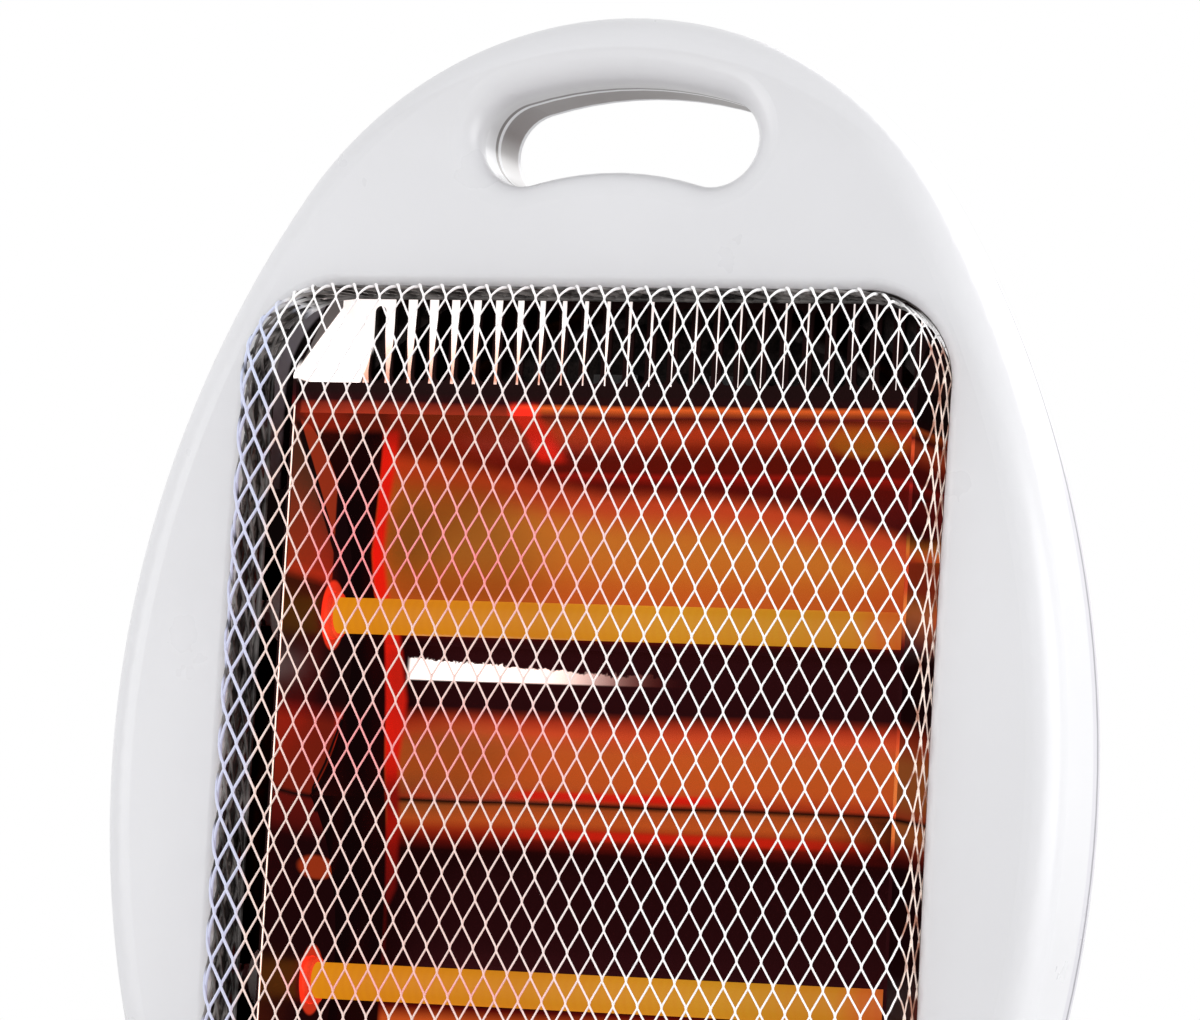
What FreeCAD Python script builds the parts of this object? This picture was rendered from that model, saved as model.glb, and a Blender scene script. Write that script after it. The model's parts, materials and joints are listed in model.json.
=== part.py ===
import FreeCAD, Part
import math
import os

# Free-standing quartz heater: an oval plastic body with a hand-hold and a mesh guard, two quartz tubes
# in polished troughs, and a wide foot. Millimetres. X is to the right as one faces the heater, the
# front looks along -Y, Z is up, and the origin is on the floor under the middle of the foot.

V = FreeCAD.Vector
X_AXIS = V(1, 0, 0)
Y_AXIS = V(0, 1, 0)
Z_AXIS = V(0, 0, 1)
overrun = 5.0
pick_margin = 0.5
aligned_share = 0.9

# Body outline and faces
body_half_width = 135.0
body_half_height = 208.0
body_end_pinch = 29.0
body_end_radius = body_half_width - body_end_pinch
oval_bottom_z = -3.0
body_mid_z = oval_bottom_z + body_half_height
body_top_z = body_mid_z + body_half_height
face_y = -48.0
face_bow = 12.0
parting_y = -9.5
parting_bow = 10.0
shoulder_y = -5.0
back_y = 34.0
wall = 2.5
front_edge_radius = 9.0
shoulder_edge_radius = 2.5
body_seat_z = 14.0

# Bulge of the rear housing
bulge_side_inset = 5.0
bulge_end_inset = 50.5
bulge_pinch_share = 0.727
bulge_drop = 7.5
bulge_half_width = body_half_width - bulge_side_inset
bulge_half_height = body_half_height - bulge_end_inset
bulge_end_radius = bulge_half_width - bulge_pinch_share * (bulge_half_height - bulge_half_width)
bulge_mid_z = body_mid_z - bulge_drop
bulge_draft = 6.0
bulge_edge_radius = 12.0

# Hand-hold
handle_top_margin = 30.8
handle_mid_z = body_top_z - handle_top_margin
handle_curve_radius = 95.0
handle_half_height = 12.4
handle_half_span = 27.0
handle_lining = 2.2
handle_flare = 7.5

# Window
window_side_margin = 36.0
window_end_margin = 71.0
window_drop = 5.0
window_width = 2 * (body_half_width - window_side_margin)
side_arc_radius = body_half_width ** 2 + body_half_height ** 2 - 2 * body_half_height * body_end_radius
side_arc_radius = side_arc_radius / (2 * (body_half_width - body_end_radius))
oval_corner_rise = math.sqrt(side_arc_radius ** 2 - (side_arc_radius - window_side_margin) ** 2)
window_height = 2 * min(body_half_height - window_end_margin, oval_corner_rise - window_drop)
window_corner = 25.0
window_mid_z = body_mid_z - window_drop
window_flange_depth = 16.0
window_flange_wall = 2.2
window_lip_radius = 3.5

# Mesh guard
guard_gap = 0.5
guard_stand = 8.0
guard_depth = 24.0
guard_sheet = 1.0
guard_edge_radius = 8.0
guard_rim = 11.0
guard_tab_width = 12.0
guard_tab_reach = 4.0
guard_tab_rise = 45.0
guard_tab_x = 40.0
guard_ring = 3.0
guard_band = 4.0
guard_bar = 3.0
guard_side_slots = 12
guard_end_slots = 8
mesh_pitch_x = 6.0
mesh_pitch_z = 12.0
strand_width = 1.0
strand_thickness = 0.7
strand_land = 2.5
strand_shortest = 5.0

# Reflector
reflector_sheet = 1.0
reflector_end_inset = 11.0
reflector_half_length = window_width / 2 - reflector_end_inset
seam_y = -12.0
seam_flange = 7.0
lip_y = -37.0
lip_inset = 34.0
lip_rise = window_height / 2 - lip_inset
lip_height = 8.5
trough_y = 13.0
trough_drop = 7.5
trough_rise = lip_rise / 2 - trough_drop
panel_y = -9.0
panel_over = 3.0
panel_height = window_height / 2 + panel_over - lip_rise - lip_height
slot_pitch = 6.4
slot_width = 3.6
slot_lift = 4.0
slot_top_land = 3.5
slot_end_land = 7.0
slot_height = panel_height - slot_lift - slot_top_land
slot_count = int(2 * (reflector_half_length - slot_end_land) / slot_pitch)

# Side plates
plate_sheet = 1.0
plate_margin = 2.0
plate_corner = 2.0
plate_top_edge = 6.0
plate_shoulder_drop = 4.0
plate_slope_height = 29.0
plate_shoulder_rise = lip_rise - plate_shoulder_drop
plate_back_rise = plate_shoulder_rise - plate_slope_height
ear_hole_reach = 21.0
ear_edge = 4.0
ear_reach = ear_hole_reach + ear_edge
ear_hole_x = reflector_half_length + ear_hole_reach
ear_width = 16.0
ear_y = -26.0
ear_drop = 28.0
ear_rise = lip_rise - ear_drop

# Tubes
tube_lift = 6.5
tube_rise = trough_rise + tube_lift
tube_y = -3.0
tube_radius = 5.0
tube_bore_radius = 4.0
tube_end_reach = 9.0
tube_length = 2 * (reflector_half_length + tube_end_reach)
coil_radius = 3.3
coil_core_radius = 2.4
coil_end_gap = 11.0
coil_length = tube_length - 2 * coil_end_gap
tail_radius = 0.8
cap_radius = 8.0
cap_neck_radius = 6.4
cap_length = 15.0
cap_collar = 2.0
cap_clearance = 0.1
plate_hole_clearance = 0.3
stud_radius = 2.0
stud_length = 11.0
nut_across = 7.0
nut_height = 3.2

# Screws
post_radius = 4.5
pilot_radius = 1.55
screw_radius = 1.5
screw_head_radius = 3.2
screw_head_height = 2.2
screw_head_chamfer = 0.9
screw_recess = 1.0
clearance_hole_radius = 1.9
counterbore_radius = 3.8
counterbore_depth = 3.2
housing_screw_length = 16.0
short_screw_length = 8.0
upper_screw_inset = 67.0
upper_screw_drop = 56.0
upper_screw_x = body_half_width - upper_screw_inset
upper_screw_z = body_top_z - upper_screw_drop
lower_screw_inset = 63.0
lower_screw_x = body_half_width - lower_screw_inset
lower_screw_z = 54.0
base_screw_x = 34.0
base_screw_length = 14.0
base_post_top = 32.0

# Rocker switches
switch_x = 17.0
switch_top_gap = 43.0
switch_z = bulge_mid_z + bulge_half_height - switch_top_gap
bezel_half_width = 7.6
bezel_half_height = 10.6
bezel_thickness = 1.5
bezel_corner = 1.2
switch_half_width = 6.5
switch_half_height = 9.6
switch_depth = 14.0
rocker_half_width = 5.3
rocker_half_height = 8.0
rocker_gap = 0.4
rocker_reach = 4.6
rocker_dip = 1.4
rocker_drop = 4.0
rocker_keel = 5.0
rocker_cavity = 6.5
rocker_pivot_depth = 2.0
rocker_tilt = 10.0
rocker_pin_radius = 1.2
rocker_pin_clearance = 0.06
rocker_pin_end = 6.3
switch_tab_z = 5.0
switch_tab_width = 4.8
switch_tab_thickness = 0.8
switch_tab_length = 7.0
cutout_clearance = 0.15

# Rear louvres
louvre_width = 3.6
louvre_height = 34.0
louvre_pitch = 10.0
louvre_count = 11
louvre_drop = 50.0
upper_louvre_z = switch_z - louvre_drop
lower_louvre_z = 2 * window_mid_z - upper_louvre_z

# Cord inlet and clamp
inlet_x = 40.0
inlet_z = 80.0
inlet_bore_radius = 3.7
inlet_neck_radius = 6.5
inlet_flange_radius = 9.0
inlet_flange = 3.0
inlet_nose_radius = 5.6
inlet_nose = 3.0
inlet_inner_flange_radius = 7.8
inlet_inner_flange = 3.5
inlet_clearance = 0.1
clamp_post_x = 12.0
clamp_post_radius = 3.2
clamp_post_length = 8.0
clamp_bar_thickness = 3.0
clamp_bar_overhang = 4.0
clamp_bar_half_height = 4.0

# Terminal block
block_x = -6.0
block_z = 80.0
block_length = 32.0
block_height = 14.0
block_thickness = 12.0
block_ways = 3
block_hole_radius = 2.0
block_screw_radius = 1.6
block_groove = 2.0

# Thermal cut-out
cutout_radius = 8.0
cutout_thickness = 6.5
cutout_flange_radius = 9.5
cutout_flange = 1.0
cutout_pin_spread = 4.0
cutout_pin_length = 6.0
cutout_pin_width = 4.0
cutout_pin_thickness = 0.8

# Foot
foot_half_depth = 65.0
foot_end_radius = 52.0
foot_clear = 2.0
foot_edge_z = 12.0
foot_edge_radius = 4.0
foot_land = 1.0
foot_wall = 4.0
foot_cavity_top = 10.0
collar_side_margin = 12.3
collar_front_inset = 1.0
collar_back_margin = 9.0
collar_front_y = face_y + collar_front_inset
collar_back_y = shoulder_y + collar_back_margin
collar_end_radius = 23.0
collar_top_z = 38.0
end_arc_drop = body_end_radius + oval_bottom_z - collar_top_z
collar_half_length = math.sqrt(body_end_radius ** 2 - end_arc_drop ** 2) + collar_side_margin
foot_side_reach = 26.0
foot_half_length = collar_half_length + foot_side_reach
collar_edge_radius = 2.5
pocket_gap = 0.3
rib_thickness = 2.0
rib_count = 4
rib_spacing = 44.0
pad_side_inset = 37.0
pad_x = foot_half_length - pad_side_inset
pad_depth_y = 36.0
pad_radius = 8.0
pad_height = 3.6
pad_socket_wall = 1.6
pad_gap = 0.1
pad_edge = 0.5
guide_wall = 3.0

# Tip-over switch
plunger_x = 0.0
plunger_y = -27.0
plunger_radius = 2.2
plunger_guide_clearance = 0.08
plunger_top_z = 42.0
plunger_hole_clearance = 0.8
collar_z = 21.0
plunger_collar_radius = 4.2
plunger_collar = 2.0
spring_mean_radius = 3.35
spring_wire_radius = 0.35
spring_turns = 6
spring_wire_sides = 8
bracket_sheet = 1.0
bracket_half_width = 9.0
bracket_foot = 8.0
bracket_half_depth = 6.0
bracket_top_z = 38.0
bracket_tab_z = 56.0
microswitch_length = 20.0
microswitch_height = 9.0
microswitch_depth = 6.4
microswitch_z = 46.0
microswitch_pin_inset = 3.0
microswitch_button = 1.2
lever_z = 42.3
lever_thickness = 0.5
lever_width = 3.6
lever_reach = 12.0
lever_overhang = 2.5
lever_pin_radius = 0.8
lever_pin_clearance = 0.05
lever_eye_radius = 1.6
lever_cheek = 1.1
lever_side_gap = 0.3


def box(x0, x1, y0, y1, z0, z1):
    """Box between two corners."""
    return Part.makeBox(x1 - x0, y1 - y0, z1 - z0, V(x0, y0, z0))


def rod(radius, start, end):
    """Cylinder from one point to another."""
    along = end - start
    return Part.makeCylinder(radius, along.Length, start, along)


def hex_nut(across, height, hole_radius, start, direction):
    """Hexagonal nut whose seat is centred on start."""
    corner = across / (2 * math.cos(math.pi / 6))
    side = direction.cross(Z_AXIS) if abs(direction.z) < abs(direction.x) + abs(direction.y) else X_AXIS
    other = direction.cross(side)
    points = []
    for i in range(7):
        a = math.pi / 3 * i
        points.append(start + side * (corner * math.cos(a)) + other * (corner * math.sin(a)))
    body = Part.Face(Part.makePolygon(points)).extrude(direction * height)
    return body.cut(rod(hole_radius, start, start + direction * height))


def pan_screw(head_start, direction, length):
    """Pan-head screw: direction runs from the head into the work, head_start is under the head."""
    head = rod(screw_head_radius, head_start - direction * screw_head_height, head_start)
    rim = [e for e in head.Edges if e.Curve.TypeId == "Part::GeomCircle"]
    outer = [e for e in rim if (e.CenterOfMass - head_start).Length > screw_head_height / 2]
    head = head.makeChamfer(screw_head_chamfer, outer)
    shank = rod(screw_radius, head_start, head_start + direction * length)
    top = head_start - direction * screw_head_height
    side = direction.cross(X_AXIS) if abs(direction.x) < abs(direction.y) + abs(direction.z) else Y_AXIS
    other = direction.cross(side)
    screw = head.fuse(shank)
    for a, b in ((side, other), (other, side)):
        reach = screw_head_radius / 2
        half = screw_recess / 2
        corners = [top + a * reach + b * half, top - a * reach + b * half,
                   top - a * reach - b * half, top + a * reach - b * half,
                   top + a * reach + b * half]
        screw = screw.cut(Part.Face(Part.makePolygon(corners)).extrude(direction * screw_recess))
    return screw.removeSplitter()


def oval_wire(half_side, half_end, end_radius, place):
    """Four tangent arcs; place turns (side, end) coordinates into a point."""
    side_radius = half_side ** 2 + half_end ** 2 - 2 * half_end * end_radius
    side_radius = side_radius / (2 * (half_side - end_radius))
    side_centre = half_side - side_radius
    end_centre = half_end - end_radius
    turn = math.atan(abs(end_centre / side_centre))

    def arc(centre_u, centre_w, radius, start, stop):
        angles = (start, (start + stop) / 2, stop)
        points = [place(centre_u + radius * math.cos(a), centre_w + radius * math.sin(a)) for a in angles]
        return Part.Arc(*points).toShape()

    return Part.Wire([
        arc(side_centre, 0, side_radius, -turn, turn),
        arc(0, end_centre, end_radius, turn, math.pi - turn),
        arc(-side_centre, 0, side_radius, math.pi - turn, math.pi + turn),
        arc(0, -end_centre, end_radius, math.pi + turn, 2 * math.pi - turn)])


def body_oval(y, grow):
    """Outline of the body at depth y, offset outwards by grow."""
    return oval_wire(body_half_width + grow, body_half_height + grow, body_end_radius + grow,
                     lambda u, w: V(u, y, body_mid_z + w))


def bulge_oval(y, grow):
    """Outline of the rear bulge at depth y, offset outwards by grow."""
    return oval_wire(bulge_half_width + grow, bulge_half_height + grow, bulge_end_radius + grow,
                     lambda u, w: V(u, y, bulge_mid_z + w))


def bow_radius(bow):
    """Radius of a face that falls back by bow at the top of the oval."""
    return (body_half_height ** 2 + bow ** 2) / (2 * bow)


def lying_cylinder(radius, y):
    """Cylinder along X whose centre line is at depth y and body height."""
    reach = body_half_width + overrun
    return rod(radius, V(-reach, y, body_mid_z), V(reach, y, body_mid_z))


def face_solid(grow):
    """Everything behind the bowed front face."""
    radius = bow_radius(face_bow)
    return lying_cylinder(radius + grow, face_y + radius)


def parting_solid(grow):
    """Everything in front of the bowed parting face."""
    radius = bow_radius(parting_bow)
    return lying_cylinder(radius + grow, parting_y - radius)


def bow_at(z, bow):
    """How far a bowed face has fallen back at height z."""
    radius = bow_radius(bow)
    return radius - math.sqrt(radius ** 2 - (z - body_mid_z) ** 2)


def above(z):
    """Everything above height z, as far as the body reaches."""
    reach = body_half_width + overrun
    top = body_mid_z + body_half_height + overrun
    return box(-reach, reach, face_y - overrun, back_y + overrun, z, top)


def prism(wire, depth):
    """Extrusion of a wire along Y."""
    return Part.Face(wire).extrude(V(0, depth, 0))


def round_rect(half_width, half_height, corner, mid_z, y):
    """Rounded rectangle in the plane at depth y."""
    inner_x = half_width - corner
    inner_z = half_height - corner
    edges = []
    for i in range(4):
        a = math.pi / 2 * i
        sx = 1 if i in (0, 3) else -1
        sz = 1 if i in (0, 1) else -1
        angles = (a, a + math.pi / 4, a + math.pi / 2)
        points = [V(sx * inner_x + corner * math.cos(t), y, mid_z + sz * inner_z + corner * math.sin(t))
                  for t in angles]
        edges.append(Part.Arc(*points).toShape())
    sides = []
    for i in range(4):
        start = edges[i].lastVertex().Point
        end = edges[(i + 1) % 4].firstVertex().Point
        sides.append(Part.makeLine(start, end))
    ordered = []
    for arc, side in zip(edges, sides):
        ordered += [arc, side]
    return Part.Wire(ordered)


def obround(width, height, x, z, y):
    """Upright slot outline with round ends, in the plane at depth y."""
    radius = width / 2
    reach = height / 2 - radius
    top = Part.Arc(V(x + radius, y, z + reach), V(x, y, z + reach + radius), V(x - radius, y, z + reach))
    low = Part.Arc(V(x - radius, y, z - reach), V(x, y, z - reach - radius), V(x + radius, y, z - reach))
    left = Part.makeLine(V(x - radius, y, z + reach), V(x - radius, y, z - reach))
    right = Part.makeLine(V(x + radius, y, z - reach), V(x + radius, y, z + reach))
    return Part.Wire([top.toShape(), left, low.toShape(), right])


def kidney(grow, y):
    """Arched outline of the hand-hold, offset outwards by grow."""
    centre_z = handle_mid_z - handle_curve_radius
    swing = math.asin(handle_half_span / handle_curve_radius)
    half = handle_half_height + grow

    def at(radius, angle):
        return V(radius * math.sin(angle), y, centre_z + radius * math.cos(angle))

    outer = Part.Arc(at(handle_curve_radius + half, -swing), at(handle_curve_radius + half, 0),
                     at(handle_curve_radius + half, swing)).toShape()
    inner = Part.Arc(at(handle_curve_radius - half, swing), at(handle_curve_radius - half, 0),
                     at(handle_curve_radius - half, -swing)).toShape()
    ends = []
    for sign in (1, -1):
        middle = at(handle_curve_radius, sign * swing)
        tip = V(sign * half * math.cos(swing), 0, -half * math.sin(swing))
        ends.append(Part.Arc(at(handle_curve_radius + sign * half, sign * swing), middle + tip,
                             at(handle_curve_radius - sign * half, sign * swing)).toShape())
    return Part.Wire([outer, ends[0], inner, ends[1]])


def edges_before(shape, y_limit):
    """Edges that lie wholly in front of a depth."""
    return [e for e in shape.Edges if e.BoundBox.YMax < y_limit]


def edges_behind(shape, y_limit):
    """Edges that lie wholly behind a depth."""
    return [e for e in shape.Edges if e.BoundBox.YMin > y_limit]


def front_block(grow, edge_radius):
    """Solid between the front face and the parting face, with its front edge rounded."""
    start = face_y - overrun
    block = prism(body_oval(start, grow), shoulder_y - start)
    block = block.common(face_solid(grow))
    edge_limit = face_y + face_bow + overrun
    return block.makeFillet(edge_radius, edges_before(block, edge_limit))


def screw_places():
    """Where the rear housing is screwed to the front one."""
    places = []
    for sign in (-1, 1):
        places.append((sign * upper_screw_x, upper_screw_z))
        places.append((sign * lower_screw_x, lower_screw_z))
    return places


def ear_places():
    """Where the reflector's ears are screwed to the front housing."""
    return [(sx * ear_hole_x, window_mid_z + sz * ear_rise) for sx in (-1, 1) for sz in (-1, 1)]


def front_housing():
    """Oval front shell with the window, the flared hand-hold and its screw posts."""
    start = face_y - overrun
    through = shoulder_y + overrun - start
    outer = front_block(0, front_edge_radius).common(parting_solid(0)).common(above(body_seat_z))
    outer = outer.cut(prism(kidney(0, start), through))
    outer = outer.makeFillet(handle_flare, kidney_outline_edges(outer))
    outer = outer.cut(prism(round_rect(window_width / 2, window_height / 2, window_corner,
                                       window_mid_z, start), through))
    outer = outer.makeFillet(window_lip_radius, window_outline_edges(outer))

    flare_back = face_y + bow_at(handle_mid_z, face_bow) + handle_flare + wall
    kept = [prism(round_rect(window_width / 2 + window_flange_wall, window_height / 2 + window_flange_wall,
                             window_corner + window_flange_wall, window_mid_z, start),
                  overrun + window_flange_depth),
            prism(kidney(handle_lining, start), through),
            prism(kidney(handle_flare + handle_lining, start), flare_back - start)]
    for x, z in screw_places():
        kept.append(rod(post_radius, V(x, start, z), V(x, shoulder_y, z)))
    for x, z in ear_places():
        kept.append(rod(post_radius, V(x, start, z), V(x, ear_y, z)))
    for sign in (-1, 1):
        x = sign * base_screw_x
        kept.append(rod(post_radius, V(x, plunger_y, 0), V(x, plunger_y, base_post_top)))
    cavity = front_block(-wall, front_edge_radius - wall).common(above(body_seat_z + wall))
    for piece in kept:
        cavity = cavity.cut(piece)
    solid = outer.cut(cavity)

    for x, z in screw_places():
        depth = housing_screw_length + overrun
        solid = solid.cut(rod(pilot_radius, V(x, shoulder_y - depth, z), V(x, shoulder_y, z)))
    for x, z in ear_places():
        solid = solid.cut(rod(pilot_radius, V(x, ear_y - short_screw_length - overrun, z), V(x, ear_y, z)))
    for sign in (-1, 1):
        x = sign * base_screw_x
        solid = solid.cut(rod(pilot_radius, V(x, plunger_y, 0), V(x, plunger_y, base_post_top - wall)))
        x = plunger_x + sign * (bracket_half_width + bracket_foot / 2)
        solid = solid.cut(rod(pilot_radius, V(x, plunger_y, 0), V(x, plunger_y, base_post_top)))
    hole = plunger_radius + plunger_hole_clearance
    return solid.cut(rod(hole, V(plunger_x, plunger_y, 0), V(plunger_x, plunger_y, base_post_top)))


def window_outline_edges(solid):
    """Front edges of the window on the bowed face."""
    half_w = window_width / 2 + pick_margin
    half_h = window_height / 2 + pick_margin
    limit = face_y + bow_at(window_mid_z - half_h, face_bow) + wall / 2
    found = []
    for e in solid.Edges:
        b = e.BoundBox
        across = b.XMin > -half_w and b.XMax < half_w
        along = b.ZMin > window_mid_z - half_h and b.ZMax < window_mid_z + half_h
        if across and along and b.YMax < limit:
            found.append(e)
    return found


def kidney_outline_edges(solid):
    """Front edges of the hand-hold on the bowed face."""
    reach_x = handle_half_span + handle_half_height + pick_margin
    low = handle_mid_z - 2 * handle_half_height
    high = handle_mid_z + handle_half_height + pick_margin
    limit = face_y + bow_at(high, face_bow) + wall / 2
    found = []
    for e in solid.Edges:
        b = e.BoundBox
        if b.ZMin > low and b.ZMax < high and b.XMax < reach_x and b.XMin > -reach_x and b.YMax < limit:
            found.append(e)
    return found


def rear_block(grow, edge_radius):
    """Solid of the rear housing: the rim up to the shoulder, and the bulge behind it."""
    start = face_y
    rim = prism(body_oval(start, grow), shoulder_y + grow - start)
    if grow == 0:
        rim = rim.makeFillet(shoulder_edge_radius, edges_behind(rim, shoulder_y - shoulder_edge_radius / 2))
    root = bulge_oval(shoulder_y - wall, grow)
    end = bulge_oval(back_y + grow, grow - bulge_draft)
    bulge = Part.makeLoft([root, end], True, True)
    bulge = bulge.makeFillet(edge_radius, edges_behind(bulge, back_y - wall - overrun))
    return rim.fuse(bulge)


def rear_housing():
    """Shallow rear shell with a drafted bulge, louvres, switch cut-outs and the cord inlet."""
    outer = rear_block(0, bulge_edge_radius).cut(parting_solid(0)).common(above(body_seat_z))
    cavity = rear_block(-wall, bulge_edge_radius - wall).common(above(body_seat_z + wall))
    solid = outer.cut(cavity)

    start = face_y
    additions = [prism(kidney(handle_lining, start), shoulder_y - start)]
    for x, z in screw_places():
        additions.append(rod(post_radius, V(x, start, z), V(x, shoulder_y, z)))
    inner_back = back_y - wall
    for sign in (-1, 1):
        x = inlet_x + sign * clamp_post_x
        additions.append(rod(clamp_post_radius, V(x, inner_back - clamp_post_length, inlet_z),
                             V(x, back_y, inlet_z)))
    for piece in additions:
        solid = solid.fuse(piece.common(outer))

    solid = solid.cut(prism(kidney(0, start), shoulder_y - start + overrun))
    for x, z in screw_places():
        solid = solid.cut(rod(clearance_hole_radius, V(x, start, z), V(x, shoulder_y + overrun, z)))
        solid = solid.cut(rod(counterbore_radius, V(x, shoulder_y - counterbore_depth, z),
                              V(x, shoulder_y + overrun, z)))
    for sign in (-1, 1):
        x = inlet_x + sign * clamp_post_x
        solid = solid.cut(rod(pilot_radius, V(x, inner_back - clamp_post_length, inlet_z),
                              V(x, inner_back, inlet_z)))
        half_w = switch_half_width + cutout_clearance
        half_h = switch_half_height + cutout_clearance
        solid = solid.cut(box(sign * switch_x - half_w, sign * switch_x + half_w, inner_back - overrun,
                              back_y + overrun, switch_z - half_h, switch_z + half_h))
    solid = solid.cut(rod(inlet_neck_radius + inlet_clearance, V(inlet_x, inner_back - overrun, inlet_z),
                          V(inlet_x, back_y + overrun, inlet_z)))
    for z in (upper_louvre_z, lower_louvre_z):
        for i in range(louvre_count):
            x = (i - (louvre_count - 1) / 2) * louvre_pitch
            solid = solid.cut(prism(obround(louvre_width, louvre_height, x, z, inner_back - overrun),
                                    wall + 2 * overrun))
    return solid.removeSplitter()


def guard_tray(grow, y, depth):
    """Solid with the outline of the mesh guard."""
    half_w = window_width / 2 - guard_gap + grow
    half_h = window_height / 2 - guard_gap + grow
    return prism(round_rect(half_w, half_h, window_corner - guard_gap + grow, window_mid_z, y), depth)


def guard_slots(front):
    """Slots across the frame's rounded edge: along the sides, along the ends and one in each corner."""
    half_w = window_width / 2 - guard_gap
    half_h = window_height / 2 - guard_gap
    corner = window_corner - guard_gap
    inner = guard_rim - guard_ring
    y0 = front - overrun
    y1 = front + guard_depth - guard_band
    slots = []
    pitch = 2 * (half_h - corner) / guard_side_slots
    half_slot = (pitch - guard_bar) / 2
    for i in range(guard_side_slots):
        z = window_mid_z + (i - (guard_side_slots - 1) / 2) * pitch
        slots.append(box(half_w - inner, half_w + overrun, y0, y1, z - half_slot, z + half_slot))
        slots.append(box(-half_w - overrun, -half_w + inner, y0, y1, z - half_slot, z + half_slot))
    pitch = 2 * (half_w - corner) / guard_end_slots
    half_slot = (pitch - guard_bar) / 2
    for i in range(guard_end_slots):
        x = (i - (guard_end_slots - 1) / 2) * pitch
        top = window_mid_z + half_h
        low = window_mid_z - half_h
        slots.append(box(x - half_slot, x + half_slot, y0, y1, top - inner, top + overrun))
        slots.append(box(x - half_slot, x + half_slot, y0, y1, low - overrun, low + inner))
    for i in range(4):
        across = box(corner - inner, corner + overrun, y0, y1, -half_slot, half_slot)
        across.rotate(V(0, 0, 0), Y_AXIS, 45 + 90 * i)
        sx = 1 if i in (0, 3) else -1
        sz = -1 if i in (0, 1) else 1
        across.translate(V(sx * (half_w - corner), 0, window_mid_z + sz * (half_h - corner)))
        slots.append(across)
    return slots


def grille_frame():
    """Folded tray for the strands: a rounded front edge, flanks in the window, tabs behind its flange."""
    front = face_y - guard_stand
    tray = guard_tray(0, front, guard_depth)
    tray = tray.makeFillet(guard_edge_radius, edges_before(tray, front + guard_edge_radius / 2))
    core = guard_tray(-guard_sheet, front + guard_sheet, guard_depth)
    inner_radius = guard_edge_radius - guard_sheet
    core = core.makeFillet(inner_radius, edges_before(core, front + guard_sheet + inner_radius / 2))
    opening = guard_tray(-guard_rim, front - overrun, guard_depth)
    tray = tray.cut(core).cut(opening)
    for slot in guard_slots(front):
        tray = tray.cut(slot)

    back = front + guard_depth
    half_tab = guard_tab_width / 2
    for sign in (-1, 1):
        ends = sorted((sign * (window_width / 2 - guard_gap - guard_sheet),
                       sign * (window_width / 2 + guard_tab_reach)))
        for rise in (-guard_tab_rise, guard_tab_rise):
            z = window_mid_z + rise
            tray = tray.fuse(box(ends[0], ends[1], back, back + guard_sheet, z - half_tab, z + half_tab))
        ends = sorted((sign * (window_height / 2 - guard_gap - guard_sheet),
                       sign * (window_height / 2 + guard_tab_reach)))
        for x in (-guard_tab_x, guard_tab_x):
            tray = tray.fuse(box(x - half_tab, x + half_tab, back, back + guard_sheet,
                                 window_mid_z + ends[0], window_mid_z + ends[1]))
    return tray.removeSplitter()


def grille_mesh():
    """Two crossing layers of straight strands behind the tray's rim, welded where they cross."""
    back_of_rim = face_y - guard_stand + guard_sheet
    half_w = window_width / 2 - guard_gap - guard_rim + strand_land
    half_h = window_height / 2 - guard_gap - guard_rim + strand_land
    corner = window_corner - guard_gap - guard_rim + strand_land
    steep = mesh_pitch_z / mesh_pitch_x
    count = math.ceil((half_w + half_h / steep) / mesh_pitch_x)
    strands = []
    for layer, slope in enumerate((steep, -steep)):
        y = back_of_rim + layer * strand_thickness
        region = Part.Face(round_rect(half_w, half_h, corner, window_mid_z, y))
        reach = half_h / steep
        for k in range(-count, count + 1):
            x = k * mesh_pitch_x
            line = Part.makeLine(V(x - reach, y, window_mid_z - slope * reach),
                                 V(x + reach, y, window_mid_z + slope * reach))
            for edge in line.common(region).Edges:
                if edge.Length > strand_shortest:
                    strands.append(flat_strand(edge.firstVertex().Point, edge.lastVertex().Point))
    return Part.makeCompound(strands)


def flat_strand(start, end):
    """Flat straight strand between two points."""
    along = (end - start).normalize()
    side = along.cross(Y_AXIS) * (strand_width / 2)
    corners = [start + side, end + side, end - side, start - side, start + side]
    return Part.Face(Part.makePolygon(corners)).extrude(V(0, strand_thickness, 0))


def trough_centre(far_y, far_rise, tip_y, tip_rise):
    """Centre depth and radius of an arc that is deepest at (far_y, far_rise) and ends at the tip."""
    rise = tip_rise - far_rise
    fall = far_y - tip_y
    radius = (rise ** 2 + fall ** 2) / (2 * fall)
    return far_y - radius, radius


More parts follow.
